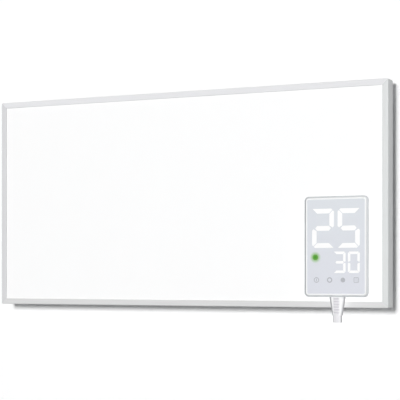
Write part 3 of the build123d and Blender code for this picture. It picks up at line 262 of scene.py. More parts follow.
def zincCoatedSteel(name, look):
    # hot-dip galvanised sheet: crystals a few millimetres across, each with a grey and a gloss of its own
    material, tree, surface, place = startMaterial(name, look)
    crystals = addNode(tree, "ShaderNodeTexVoronoi", {"Vector": place, "Scale": perMm(look["crystal"])})
    grey = addNode(tree, "ShaderNodeRGBToBW", {"Color": (crystals, "Color")})
    tint = addNode(tree, "ShaderNodeValToRGB", {"Fac": (grey, "Val")}, stops=tones(look, 0.2, 0.8))
    gloss = addNode(tree, "ShaderNodeMapRange",
                    {"Value": (grey, "Val")} | around(look["roughness"], look["glossSpread"]))
    skin = addNode(tree, "ShaderNodeTexNoise",
                   {"Vector": place, "Scale": perMm(look["skin"]), "Detail": 2.0})
    relief = addNode(tree, "ShaderNodeBump", {"Height": (skin, "Fac"), "Strength": look["relief"],
                                              "Distance": look["skinDepth"] * mm})
    setInputs(tree, surface, {"Base Color": (tint, "Color"), "Roughness": (gloss, "Result"),
                              "Normal": (relief, "Normal")})
    return material


def brightMetal(name, look):
    # plated, drawn or rolled metal: soft clouds of tarnish in its colour, scratches along y in its gloss
    material, tree, surface, place = startMaterial(name, look)
    clouds = addNode(tree, "ShaderNodeTexNoise",
                     {"Vector": place, "Scale": perMm(look["cloud"]), "Detail": 4.0})
    tint = addNode(tree, "ShaderNodeValToRGB", {"Fac": (clouds, "Fac")}, stops=tones(look))
    drawn = addNode(tree, "ShaderNodeMapping", {"Vector": place, "Scale": (1.0, look["stretch"], 1.0)})
    scratches = addNode(tree, "ShaderNodeTexNoise", {"Vector": (drawn, "Vector"),
                                                     "Scale": perMm(look["scratch"]), "Detail": 2.0})
    gloss = addNode(tree, "ShaderNodeMapRange",
                    {"Value": (scratches, "Fac")} | around(look["roughness"], look["glossSpread"]))
    setInputs(tree, surface, {"Base Color": (tint, "Color"), "Roughness": (gloss, "Result")})
    return material


def powderCoat(name, look):
    # stoved powder on steel: an even colour, whose sheen breaks up in a fine orange peel
    material, tree, surface, place = startMaterial(name, look)
    peel = addNode(tree, "ShaderNodeTexNoise",
                   {"Vector": place, "Scale": perMm(look["peel"]), "Detail": 1.5})
    relief = addNode(tree, "ShaderNodeBump", {"Height": (peel, "Fac"), "Strength": look["relief"],
                                              "Distance": look["peelDepth"] * mm})
    speckle = addNode(tree, "ShaderNodeTexNoise", {"Vector": place, "Scale": perMm(look["speckle"]),
                                                   "Detail": 2.0})
    tint = addNode(tree, "ShaderNodeValToRGB", {"Fac": (speckle, "Fac")}, stops=tones(look))
    setInputs(tree, surface, {"Base Color": (tint, "Color"), "Normal": (relief, "Normal")})
    return material


def mouldedPlastic(name, look):
    # moulded plastic or rubber: the mould's grain in the relief, slow flow marks in gloss and colour
    material, tree, surface, place = startMaterial(name, look)
    grain = addNode(tree, "ShaderNodeTexNoise",
                    {"Vector": place, "Scale": perMm(look["grain"]), "Detail": 2.0})
    relief = addNode(tree, "ShaderNodeBump", {"Height": (grain, "Fac"), "Strength": look["relief"],
                                              "Distance": look["grainDepth"] * mm})
    flow = addNode(tree, "ShaderNodeTexNoise",
                   {"Vector": place, "Scale": perMm(look["flow"]), "Detail": 1.0})
    gloss = addNode(tree, "ShaderNodeMapRange",
                    {"Value": (flow, "Fac")} | around(look["roughness"], look["glossSpread"]))
    tint = addNode(tree, "ShaderNodeValToRGB", {"Fac": (flow, "Fac")}, stops=tones(look))
    setInputs(tree, surface, {"Base Color": (tint, "Color"), "Roughness": (gloss, "Result"),
                              "Normal": (relief, "Normal")})
    return material


def fibrousBoard(name, look):
    # pressed fibres or foam cells: noise in colour and relief, drawn out flat along the panel
    material, tree, surface, place = startMaterial(name, look)
    pressed = addNode(tree, "ShaderNodeMapping", {"Vector": place, "Scale": look["stretch"]})
    fibres = addNode(tree, "ShaderNodeTexNoise",
                     {"Vector": (pressed, "Vector"), "Scale": perMm(look["fibre"]), "Detail": 6.0,
                      "Roughness": 0.7})
    tint = addNode(tree, "ShaderNodeValToRGB", {"Fac": (fibres, "Fac")}, stops=tones(look))
    relief = addNode(tree, "ShaderNodeBump", {"Height": (fibres, "Fac"), "Strength": look["relief"],
                                              "Distance": look["fibreDepth"] * mm})
    setInputs(tree, surface, {"Base Color": (tint, "Color"), "Normal": (relief, "Normal")})
    return material


def bandedFilm(name, look):
    # bands printed on a film or wound into a sleeve: a sine wave along one axis, cut sharply into two
    # colours. The wave texture has 20 / (2 pi) waves to a unit, so its scale is 2 pi / 20 of a band pair's
    material, tree, surface, place = startMaterial(name, look)
    bands = addNode(tree, "ShaderNodeTexWave", {"Vector": place, "Scale": perMm(look["bandPair"]) * pi / 10,
                                                "Distortion": look["waver"]}, bands_direction=look["across"])
    tint = addNode(tree, "ShaderNodeValToRGB", {"Fac": (bands, "Fac")}, stops=tones(look, 0.45, 0.55))
    tree.links.new(tint.outputs["Color"], surface.inputs["Base Color"])
    return material


def circuitLaminate(name, look):
    # glass-fibre board under solder mask: square-cornered copper areas show through as a paler green
    material, tree, surface, place = startMaterial(name, look)
    tracks = addNode(tree, "ShaderNodeTexVoronoi", {"Vector": place, "Scale": perMm(look["track"])},
                     distance="MANHATTAN")
    tint = addNode(tree, "ShaderNodeValToRGB", {"Fac": (tracks, "Distance")},
                   stops=[(0.35, look["colour"]), (0.4, look["dull"])])
    tree.links.new(tint.outputs["Color"], surface.inputs["Base Color"])
    return material


# A white wall that shows the panel's shadow, a pale floor, an even white sky and three lamps: the key lamp
# far away in the room, one just behind the wall's plane for the right-hand sides, and one for the back
stage = {
    "wallHalf": 2.2,
    "wallTop": 1.6,
    "wallBehind": 0.5,  # mm behind the wall brackets' backs
    "wallColour": "#FFFFFF",
    "wallLift": "#3A3A3A",  # added to the wall's white where the camera sees it
    "passDepth": 1.5,  # light passes the wall while its ray depth is below this
    "floorLevel": -0.75,
    "floorHalf": 6.0,
    "floorColour": "#F4F5F6",
    "floorBounce": "#B8B9BA",  # what its light is coloured by on the way to the object
    "skyColour": "#FFFFFF",
    "skyStrength": 0.15,
    "lampAim": (0.0, 0.0, -0.08),
    "lamps": {
        # place, diameter, power
        "keyLamp": ((0.15, -10.0, 1.8), 2.4, 785.0),
        "sideLamp": ((6.0, 0.6, 0.3), 1.0, 121.0),
        "backLamp": ((-1.6, 5.5, 1.8), 2.0, 210.0),
    },
    "shadowless": "controller",  # the body that casts no shadow in the key lamp's light
}


def stagePlane(name, points, material):
    mesh = bpy.data.meshes.new(name)
    mesh.from_pydata(points, [], [(0, 1, 2, 3)])
    mesh.materials.append(material)
    plane = bpy.data.objects.new(name, mesh)
    bpy.context.scene.collection.objects.link(plane)
    plane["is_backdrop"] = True


def wallPaint():
    # matt white paint that the camera sees from the room only. Light passes the wall on its way to what the
    # camera sees, so the panel's back is lit in views from behind, and later bounces stop at the wall
    material = bpy.data.materials.new("whiteWallPaint")
    material.use_nodes = True
    tree = material.node_tree
    tree.nodes.clear()
    paint = addNode(tree, "ShaderNodeBsdfDiffuse", {"Color": toLinear(stage["wallColour"])})
    lift = addNode(tree, "ShaderNodeBsdfDiffuse", {"Color": toLinear(stage["wallLift"])})
    lifted = addNode(tree, "ShaderNodeAddShader", {0: (paint, "BSDF"), 1: (lift, "BSDF")})
    clear = addNode(tree, "ShaderNodeBsdfTransparent")
    ray = addNode(tree, "ShaderNodeLightPath")
    side = addNode(tree, "ShaderNodeNewGeometry")
    seen = addNode(tree, "ShaderNodeMath", {0: (ray, "Is Camera Ray"), 1: (side, "Backfacing")},
                   operation="GREATER_THAN")
    late = addNode(tree, "ShaderNodeMath", {0: (ray, "Ray Depth"), 1: stage["passDepth"]},
                   operation="GREATER_THAN")
    solid = addNode(tree, "ShaderNodeMath", {0: (seen, "Value"), 1: (late, "Value")}, operation="MAXIMUM")
    coat = addNode(tree, "ShaderNodeMixShader",
                   {0: (seen, "Value"), 1: (paint, "BSDF"), 2: (lifted, "Shader")})
    mix = addNode(tree, "ShaderNodeMixShader",
                  {0: (solid, "Value"), 1: (clear, "BSDF"), 2: (coat, "Shader")})
    addNode(tree, "ShaderNodeOutputMaterial", {"Surface": (mix, "Shader")})
    return material


def floorPaint():
    # pale where it is seen or mirrored, and a mid grey to the light that it sends on
    material = bpy.data.materials.new("paleFloorPaint")
    material.use_nodes = True
    tree = material.node_tree
    tree.nodes.clear()
    ray = addNode(tree, "ShaderNodeLightPath")
    seen = addNode(tree, "ShaderNodeMath", {0: (ray, "Is Camera Ray"), 1: (ray, "Is Glossy Ray")},
                   operation="MAXIMUM")
    pale = addNode(tree, "ShaderNodeBsdfDiffuse", {"Color": toLinear(stage["floorColour"])})
    dull = addNode(tree, "ShaderNodeBsdfDiffuse", {"Color": toLinear(stage["floorBounce"])})
    mix = addNode(tree, "ShaderNodeMixShader", {0: (seen, "Value"), 1: (dull, "BSDF"), 2: (pale, "BSDF")})
    addNode(tree, "ShaderNodeOutputMaterial", {"Surface": (mix, "Shader")})
    return material


wallX, wallY, low, high = stage["wallHalf"], stage["wallBehind"] * mm, stage["floorLevel"], stage["wallTop"]
stagePlane("wall", [(-wallX, wallY, low), (wallX, wallY, low), (wallX, wallY, high), (-wallX, wallY, high)],
           wallPaint())
half = stage["floorHalf"]
stagePlane("floor", [(-half, -half, low), (half, -half, low), (half, half, low), (-half, half, low)],
           floorPaint())

# The sky lights the object at its strength, and is plain white where it is seen, mirrored or looked through
world = bpy.data.worlds.new("studio")
world.use_nodes = True
bpy.context.scene.world = world
skyTree = world.node_tree
skyRay = addNode(skyTree, "ShaderNodeLightPath")
direct = addNode(skyTree, "ShaderNodeMath", {0: (skyRay, "Is Camera Ray"), 1: (skyRay, "Is Glossy Ray")},
                 operation="MAXIMUM")
shown = addNode(skyTree, "ShaderNodeMath", {0: (direct, "Value"), 1: (skyRay, "Is Transmission Ray")},
                operation="MAXIMUM")
skyLevel = addNode(skyTree, "ShaderNodeMapRange", {"Value": (shown, "Value"), "To Min": stage["skyStrength"],
                                                   "To Max": 1.0})
setInputs(skyTree, skyTree.nodes["Background"], {"Color": toLinear(stage["skyColour"]),
                                                 "Strength": (skyLevel, "Result")})

for name, (place, size, power) in stage["lamps"].items():
    lampData = bpy.data.lights.new(name, "AREA")
    lampData.shape = "DISK"
    lampData.size = size
    lampData.energy = power
    lamp = bpy.data.objects.new(name, lampData)
    lamp.location = place
    x, y, z = np.subtract(stage["lampAim"], place)
    lamp.rotation_euler = (np.arctan2(np.hypot(x, y), -z), 0, np.arctan2(y, x) - pi / 2)
    bpy.context.scene.collection.objects.link(lamp)
print("stage ready")

# Frame bars: one extruded section round the panel, cut at the mitres
frameBars = {
    # the section's corners: how far in from the frame's outside, how deep behind its front, and the radius
    "section": (
        (0, 0, 0.8), (8.2, 0, 0.5), (8.2, 1.4, 0.2), (1.4, 1.4, 0.2), (1.4, 11.6, 0.3), (10, 11.6, 0.2),
        (10, 14, 0.2), (8.8, 14, 0.2), (8.8, 12.8, 0.2), (1.4, 12.8, 0.3), (1.4, 18, 0.3), (8.8, 18, 0.2),
        (8.8, 16.8, 0.2), (10, 16.8, 0.2), (10, 19.2, 0.2), (1.4, 19.2, 0.2), (1.4, 20, 0.2), (0, 20, 0.3),
    ),
    "roundSteps": 5,
    "cornerRadius": 2.0,
    "cornerSteps": 9,
    "mitreGap": 0.05,  # at each bar's end
    # a fine satin skin over pale silver metal, so it shades like pewter-white paint, not like a mirror
    "look": {"roughness": 0.6, "satinSpread": 0.06, "metallic": 0.1, "linePitch": 0.5, "lineLength": 60.0,
             "lineDepth": 0.02, "relief": 0.12},
    # each bar's colour is painted lighter or darker by how the light falls on its side, the top one palest;
    # the level ones have a duller skin
    "tones": {
        "top": {"colour": "#EAEAEC", "dull": "#E2E2E4", "roughness": 0.8, "metallic": 0.05},
        "left": {"colour": "#D9D9DB", "dull": "#D1D1D3"},
        "bottom": {"colour": "#DFDFDF", "dull": "#D7D7D7", "roughness": 0.8, "metallic": 0.05},
        "right": {"colour": "#D5D7D7", "dull": "#CDCFCF"},
    },
}
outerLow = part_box("frame_left")[0].x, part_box("frame_left")[0].y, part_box("frame_bottom")[0].z
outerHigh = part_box("frame_right")[1].x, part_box("frame_right")[1].y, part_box("frame_top")[1].z
frameX, frameZ = (outerHigh[0] + outerLow[0]) / 2, (outerHigh[2] + outerLow[2]) / 2
sectionIn, sectionDeep = roundedSection(frameBars["section"], frameBars["roundSteps"])
cornerSteps = frameBars["cornerSteps"]
loopX, loopZ = roundedLoops(outerHigh[0] - frameX, outerHigh[2] - frameZ, frameBars["cornerRadius"] * mm,
                            sectionIn, cornerSteps)
barDirections = {"top": (-1, 0), "left": (0, -1), "bottom": (1, 0), "right": (0, 1)}
for order, (side, (alongX, alongZ)) in enumerate(barDirections.items()):
    # a bar's columns run from the middle of one corner's arc to the middle of the next one's
    columns = (order * cornerSteps + cornerSteps // 2 + np.arange(cornerSteps + 1)) % loopX.shape[1]
    shift = np.zeros(len(columns))
    shift[[0, -1]] = frameBars["mitreGap"] * mm * np.array([1, -1])
    x = frameX + loopX[:, columns] + shift * alongX
    z = frameZ + loopZ[:, columns] + shift * alongZ
    y = outerLow[1] + sectionDeep[:, None] + 0 * x
    rows = np.arange(len(sectionDeep)) * len(columns)
    faces = gridFaces(*x.shape, wrapRows=True) + [rows.tolist(), (rows + len(columns) - 1).tolist()[::-1]]
    # each bar gets its own copy of the finish, painted lighter or darker for its side
    finish = anodisedAluminium("satinAnodisedAluminiumLitAs" + side.capitalize(),
                               frameBars["look"] | frameBars["tones"][side], "x" if alongX else "z")
    makePiece("frameBar" + side.capitalize(), np.stack([x, y, z], -1), faces, finish, "panel",
              [f"frame_{side}"])
print("frame bars made")

# Control box front: a white bezel with rounded edges, a ledge for the face, blocks for the housing screws
frontShell = {
    # corners as on the frame bars: a sloping outer edge, and a thin lip over the face's edge
    "section": ((0.9, 0, 0.5), (2.6, 0, 0.25), (2.6, 0.35, 0.08), (1.8, 0.35, 0.08), (1.8, 1.6, 0.15),
                (3.8, 1.6, 0.2), (3.8, 3.6, 0.2), (0, 3.6, 0.2), (0, 1.3, 0.4)),
    "cornerRadius": 4.7,
    "blockHalf": 3.0,
    "blockFront": 1.6,  # behind the bezel's front
    "blockBack": 5.3,
    "boreRadius": 1.3,
    "boreSteps": 32,
    "postInset": 3.0,  # from the circuit board's edges to the screws
    # ABS from a polished mould: clean white, with a soft lacquer-like line of light along each rounded edge
    "look": {"colour": "#FCFDFD", "dull": "#F8F9FA", "roughness": 0.22, "glossSpread": 0.05, "ior": 1.53,
             "grain": 1.2, "grainDepth": 0.04, "relief": 0.03, "flow": 25.0, "coat": 0.3,
             "coatRoughness": 0.08},
}
bezelLow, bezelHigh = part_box("front_shell")
boxX, boxFront, boxZ = middle("front_shell")[0], bezelLow.y, middle("front_shell")[2]
bezelIn, bezelDeep = roundedSection(frontShell["section"])
ringX, ringZ = roundedLoops(bezelHigh.x - boxX, bezelHigh.z - boxZ, frontShell["cornerRadius"] * mm, bezelIn)
ringY = boxFront + bezelDeep[:, None] + 0 * ringX
shellPoints = [np.stack([ringX + boxX, ringY, ringZ + boxZ], -1).reshape(-1, 3)]
shellFaces = gridFaces(*ringX.shape, wrapRows=True, wrapColumns=True)


def boredBlock(centreX, centreZ, spec, start):
    # a square block with a round hole through it: the rings (bore, front), (square, front), (square, back)
    # and (bore, back), where the square's ring lies half / max(|cos t|, |sin t|) from the centre
    t = np.linspace(0, 2 * pi, spec["boreSteps"], endpoint=False)
    square = spec["blockHalf"] * mm / np.maximum(abs(np.cos(t)), abs(np.sin(t)))
    bore = spec["boreRadius"] * mm + 0 * t
    r = np.stack([bore, square, square, bore])
    deep = np.array([spec[key] * mm for key in ("blockFront", "blockFront", "blockBack", "blockBack")])
    y = boxFront + deep[:, None] + 0 * r
    points = np.stack([centreX + r * np.cos(t), y, centreZ + r * np.sin(t)], -1).reshape(-1, 3)
    return points, gridFaces(*r.shape, wrapRows=True, wrapColumns=True, start=start)


boardLow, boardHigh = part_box("circuit_board")
postInset = frontShell["postInset"] * mm
for centreX in (boardLow.x + postInset, boardHigh.x - postInset):
    for centreZ in (boardLow.z + postInset, boardHigh.z - postInset):
        points, faces = boredBlock(centreX, centreZ, frontShell, sum(map(len, shellPoints)))
        shellPoints.append(points)
        shellFaces += faces
shellFinish = mouldedPlastic("polishedWhiteAbs", frontShell["look"])
makePiece("frontShell", np.concatenate(shellPoints), shellFaces, shellFinish, "controller",
          ["front_shell"])
print("bezel made")

# Strain relief: flange and collar inside the case, ribbed taper and neck outside, bored through
strainRelief = {
    # half width, half depth, and the superellipse's power: 2 is an ellipse, 8 nearly a rectangle
    "flange": (9.5, 3.7, 8.0),
    "flangeEdge": 0.3,
    "flangeThick": 2.0,
    "collar": (7.5, 3.7, 8.0),
    "gap": 0.2,  # below the case
    "taperEdge": 0.6,
    "edgeSteps": 4,
    "taperTop": (10.7, 6.3, 2.6),
    "taperEnd": (6.7, 6.1, 2.2),
    "taperLength": 24.2,
    "taperRows": 110,
    "neck": 5.9,
    "neckEdge": 0.35,
    "bore": 3.4,
    "ribs": 6,
    "ribStart": 2.5,
    "ribPitch": 3.6,
    "grooveFloor": 0.375,  # from a groove's middle to its floor's edge, and on to its mouth's
    "grooveMouth": 1.125,
    "grooveDepth": 0.75,
    "ribReach": 3.2,  # how far the ribs reach to each side, and how soon they run out there
    "ribFade": 1.6,
    "greyLand": 0.55,  # how grey the ribs' tops and the neck are beside the grooves
    # painted shade: each side darkens between these |cos u|, by this much; the left one's darkening reaches
    # further in
    "sideShade": {"left": (0.5, 0.75, 1.0), "right": (0.8, 0.97, 0.75)},
    "whiteShare": 0.35,  # ribShare of the white: below it goes to the sides' grey, above it to the ribs'
    "steps": 72,
    # flexible PVC, moulded: satin white, its ribbed middle greyer with painted shade deepest in the grooves,
    # and painted shade along its sides, so its outline stands clear of the white plate
    "look": {"colour": "#FBFBFC", "ribs": "#D6D4D9", "sides": "#9C9CA0", "roughness": 0.7, "ior": 1.52,
             "grain": 0.6, "grainDepth": 0.03, "relief": 0.1},
}


def softPvc(name, spec):
    # the ribShare attribute goes from the sides' painted shade, 0, through white to the ribs' grey, 1, which
    # is painted shade deepest in the grooves
    look = spec["look"]
    material, tree, surface, place = startMaterial(name, look)
    share = addNode(tree, "ShaderNodeAttribute", attribute_name="ribShare")
    tint = addNode(tree, "ShaderNodeValToRGB", {"Fac": (share, "Fac")},
                   stops=[(0.0, look["sides"]), (spec["whiteShare"], look["colour"]), (1.0, look["ribs"])])
    grain = addNode(tree, "ShaderNodeTexNoise",
                    {"Vector": place, "Scale": perMm(look["grain"]), "Detail": 2.0})
    relief = addNode(tree, "ShaderNodeBump", {"Height": (grain, "Fac"), "Strength": look["relief"],
                                              "Distance": look["grainDepth"] * mm})
    setInputs(tree, surface, {"Base Color": (tint, "Color"), "Normal": (relief, "Normal")})
    return material


def makeStrainRelief(spec):
    # level v and angle u: (x, y) = (a |cos u|^(2/n), b |sin u|^(2/n)) with the signs of cos and sin, where
    # a, b and n follow the stations down the piece. A groove is a pulse 3 p^2 - 2 p^3, where p falls from 1
    # at its floor's edge to 0 at its mouth's, times a fade towards the sides
    low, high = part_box("strain_relief")
    centreX, centreY, _ = middle("strain_relief")
    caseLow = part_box("back_shell")[0].z
    flangeTop, neckEnd = (high.z - caseLow) / mm, (low.z - caseLow) / mm
    (fa, fb, fn), (ca, cb, cn) = spec["flange"], spec["collar"]
    (ta, tb, tn), (ea, eb, en) = spec["taperTop"], spec["taperEnd"]
    flangeLow, bevel, top = flangeTop - spec["flangeThick"], spec["flangeEdge"], -spec["gap"]
    edge, taperLow, neck, bore = spec["taperEdge"], top - spec["taperLength"], spec["neck"], spec["bore"]
    stations = [(flangeTop, bore, bore, 2), (flangeTop, fa - bevel, fb - bevel, fn),
                (flangeTop - bevel, fa, fb, fn), (flangeLow, fa, fb, fn), (flangeLow, ca, cb, cn),
                (top, ca, cb, cn), (top, ta - edge, tb - edge, tn)]
    t = np.linspace(0, pi / 2, spec["edgeSteps"] + 1)[1:]
    inset = edge * (1 - np.sin(t))
    stations += list(zip(top - edge * (1 - np.cos(t)), ta - inset, tb - inset, tn + 0 * t))
    share = np.linspace(0, 1, spec["taperRows"])[1:]
    stations += list(zip(top - edge + share * (taperLow + edge - top), ta + share * (ea - ta),
                         tb + share * (eb - tb), tn + share * (en - tn)))
    stations += [(taperLow, neck, neck, 2), (neckEnd + spec["neckEdge"], neck, neck, 2),
                 (neckEnd, neck - spec["neckEdge"], neck - spec["neckEdge"], 2), (neckEnd, bore, bore, 2)]
    v, a, b, n = np.array(stations).T[:, :, None]
    u = np.linspace(0, 2 * pi, spec["steps"], endpoint=False)
    x = a * np.sign(np.cos(u)) * abs(np.cos(u)) ** (2 / n)
    y = b * np.sign(np.sin(u)) * abs(np.sin(u)) ** (2 / n)
    grooves = top - spec["ribStart"] - spec["ribPitch"] * np.arange(spec["ribs"])
    away, floor, mouth = abs(v - grooves).min(1)[:, None], spec["grooveFloor"], spec["grooveMouth"]
    pulse = np.clip((mouth - away) / (mouth - floor), 0, 1)
    pulse = pulse ** 2 * (3 - 2 * pulse)
    across = np.clip((spec["ribReach"] - abs(x)) / spec["ribFade"] + 1, 0, 1) * (v < top - edge)
    y = y - np.sign(y) * spec["grooveDepth"] * pulse * across * (v > taperLow)
    points = np.stack([centreX + x * mm, centreY + y * mm, caseLow + (v + 0 * u) * mm], -1)
    piece = makePiece("strainRelief", points, gridFaces(*x.shape, wrapRows=True, wrapColumns=True),
                      softPvc("whiteSoftPvc", spec), "controller", ["strain_relief"])
    # painted shade: the sides go grey where the surface turns away, further in on the left; the ribbed
    # middle is greyer, most in the grooves
    left, right = (np.array(spec["sideShade"][key])[:, None] for key in ("left", "right"))
    first, last, most = np.where(np.cos(u) < 0, left, right)
    side = most * np.clip((abs(np.cos(u)) - first) / (last - first), 0, 1)
    white = spec["whiteShare"]
    grey = white - white * side + (1 - white) * across * (spec["greyLand"] + (1 - spec["greyLand"]) * pulse)
    ribShare = piece.data.attributes.new("ribShare", "FLOAT", "POINT")
    ribShare.data.foreach_set("value", grey.astype(np.float32).ravel())


makeStrainRelief(strainRelief)
print("strain relief made")

# Status lens: a shallow dome, lit green from behind
statusLens = {
    # radius and height above the lens's back, over half its section
    "profile": ((0.01, 0), (3.6, 0), (3.8, 0.15), (3.8, 1.22), (3.7, 1.34), (3.2, 1.42), (1.8, 1.48),
                (0.01, 1.5)),
    # distance from the lens's middle in mm, and the colour there
    "colours": ((0.0, "#439026"), (1.4, "#47922D"), (2.8, "#629F3F"), (3.8, "#6CA84A")),
    # tinted polycarbonate with an etched skin: deep green in the middle, paler at the edge
    "look": {"colour": "#5AA53C", "roughness": 0.9, "ior": 1.58, "glow": 0.07},
}


def greenLensPlastic(name, spec):
    material, tree, surface, place = startMaterial(name, spec["look"])
    away = addNode(tree, "ShaderNodeVectorMath", {0: place, 1: middle("status_lens")}, operation="DISTANCE")
    reach = spec["colours"][-1][0]
    share = addNode(tree, "ShaderNodeMapRange", {"Value": (away, "Value"), "From Max": reach * mm})
    tint = addNode(tree, "ShaderNodeValToRGB", {"Fac": (share, "Result")},
                   stops=[(distance / reach, colour) for distance, colour in spec["colours"]])
    setInputs(tree, surface, {"Base Color": (tint, "Color"), "Emission Color": (tint, "Color")})
    return material


lensX, _, lensZ = middle("status_lens")
lensPoints, lensFaces = turnedPiece(statusLens["profile"], (lensX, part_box("status_lens")[1].y, lensZ))
lensFinish = greenLensPlastic("greenPolycarbonate", statusLens)
makePiece("statusLens", lensPoints, lensFaces, lensFinish, "controller", ["status_lens"])
print("status lens made")

# Wall bumpers: a cupped foot, a tapered body and a stem through the back sheet
wallBumpers = {
    # radius and distance from the wall, over half the section
    "profile": ((0.01, 0.6), (3.6, 0.6), (4.4, 0.05), (5.9, 0.0), (6.7, 0.5), (6.95, 1.2), (7.95, 14.2),
                (7.85, 14.8), (7.4, 15.0), (2.5, 15.0), (2.5, 19.4), (2.2, 19.8), (0.01, 19.8)),
    # EPDM rubber, moulded: dull dark grey with a dry bloom
    "look": {"colour": "#55575A", "dull": "#46484B", "roughness": 0.75, "glossSpread": 0.06, "ior": 1.52,
             "grain": 0.5, "grainDepth": 0.04, "relief": 0.3, "flow": 8.0},
}
bumperLow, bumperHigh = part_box("wall_bumpers")
bumperRadius = (bumperHigh.z - bumperLow.z) / 2
bumperPoints, bumperFaces = [], []
for centreX in (bumperLow.x + bumperRadius, bumperHigh.x - bumperRadius):
    points, faces = turnedPiece(wallBumpers["profile"], (centreX, bumperHigh.y, bumperLow.z + bumperRadius),
                                start=sum(map(len, bumperPoints)))
    bumperPoints.append(points)
    bumperFaces += faces
makePiece("wallBumpers", np.concatenate(bumperPoints), bumperFaces,
          mouldedPlastic("greyEpdmRubber", wallBumpers["look"]), "panel", ["wall_bumpers"])
print("wall bumpers made")

# Face of the control box, with the status lamp's green glow painted into its colour round the lens
facePanel = {
    "colour": "#DDE1E6",
    "lower": "#DEE0E8",
    "halo": "#A3C794",  # at the lens's edge
    "haloInner": 3.6,
    "haloOuter": 8.6,
    # cast acrylic, grey-tinted, over a white light guide: a smooth bluish grey with a clear glossy skin
    "look": {"colour": "#DDE1E6", "roughness": 0.16, "ior": 1.49, "coat": 0.25, "coatRoughness": 0.04},
}


def tintedAcrylic(name, spec):
    # nearly flat colour down the face, mixed with the halo, a painted green glow, by the distance from the
    # lens
    material, tree, surface, place = startMaterial(name, spec["look"])
    low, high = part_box("face_panel")
    split = addNode(tree, "ShaderNodeSeparateXYZ", {"Vector": place})
    height = addNode(tree, "ShaderNodeMapRange",
                     {"Value": (split, "Z"), "From Min": low.z, "From Max": high.z})
    shade = addNode(tree, "ShaderNodeValToRGB", {"Fac": (height, "Result")},
                    stops=[(0.0, spec["lower"]), (1.0, spec["colour"])])
    lampX, _, lampZ = middle("status_lens")
    away = addNode(tree, "ShaderNodeVectorMath", {0: place, 1: (lampX, low.y, lampZ)}, operation="DISTANCE")
    halo = addNode(tree, "ShaderNodeMapRange", {"Value": (away, "Value"), "From Min": spec["haloOuter"] * mm,
                                                "From Max": spec["haloInner"] * mm},
                   interpolation_type="SMOOTHSTEP")
    # a colour Mix node has its colours at inputs 6 and 7 and its result at output 2
    tint = addNode(tree, "ShaderNodeMix",
                   {0: (halo, "Result"), 6: (shade, "Color"), 7: toLinear(spec["halo"])}, data_type="RGBA")
    tree.links.new(tint.outputs[2], surface.inputs["Base Color"])
    return material


def litDiffuser(name, look):
    # milky acrylic over white LEDs: it shines a little, unevenly over a few millimetres
    material, tree, surface, place = startMaterial(name, look)
    spots = addNode(tree, "ShaderNodeTexNoise",
                    {"Vector": place, "Scale": perMm(look["spot"]), "Detail": 1.0})
    power = addNode(tree, "ShaderNodeMapRange", {"Value": (spots, "Fac"), "To Min": look["dimmest"],
                                                 "To Max": look["brightest"]})
    setInputs(tree, surface, {"Emission Color": toLinear(look["colour"]),
                              "Emission Strength": (power, "Result")})
    return material


def screenInk(name, look):
    # screen-printed ink: thin, with the screen's mesh just showing in the colour
    material, tree, surface, place = startMaterial(name, look)
    mesh = addNode(tree, "ShaderNodeTexNoise",
                   {"Vector": place, "Scale": perMm(look["mesh"]), "Detail": 2.0})
    tint = addNode(tree, "ShaderNodeValToRGB", {"Fac": (mesh, "Fac")}, stops=tones(look))
    tree.links.new(tint.outputs["Color"], surface.inputs["Base Color"])
    return material


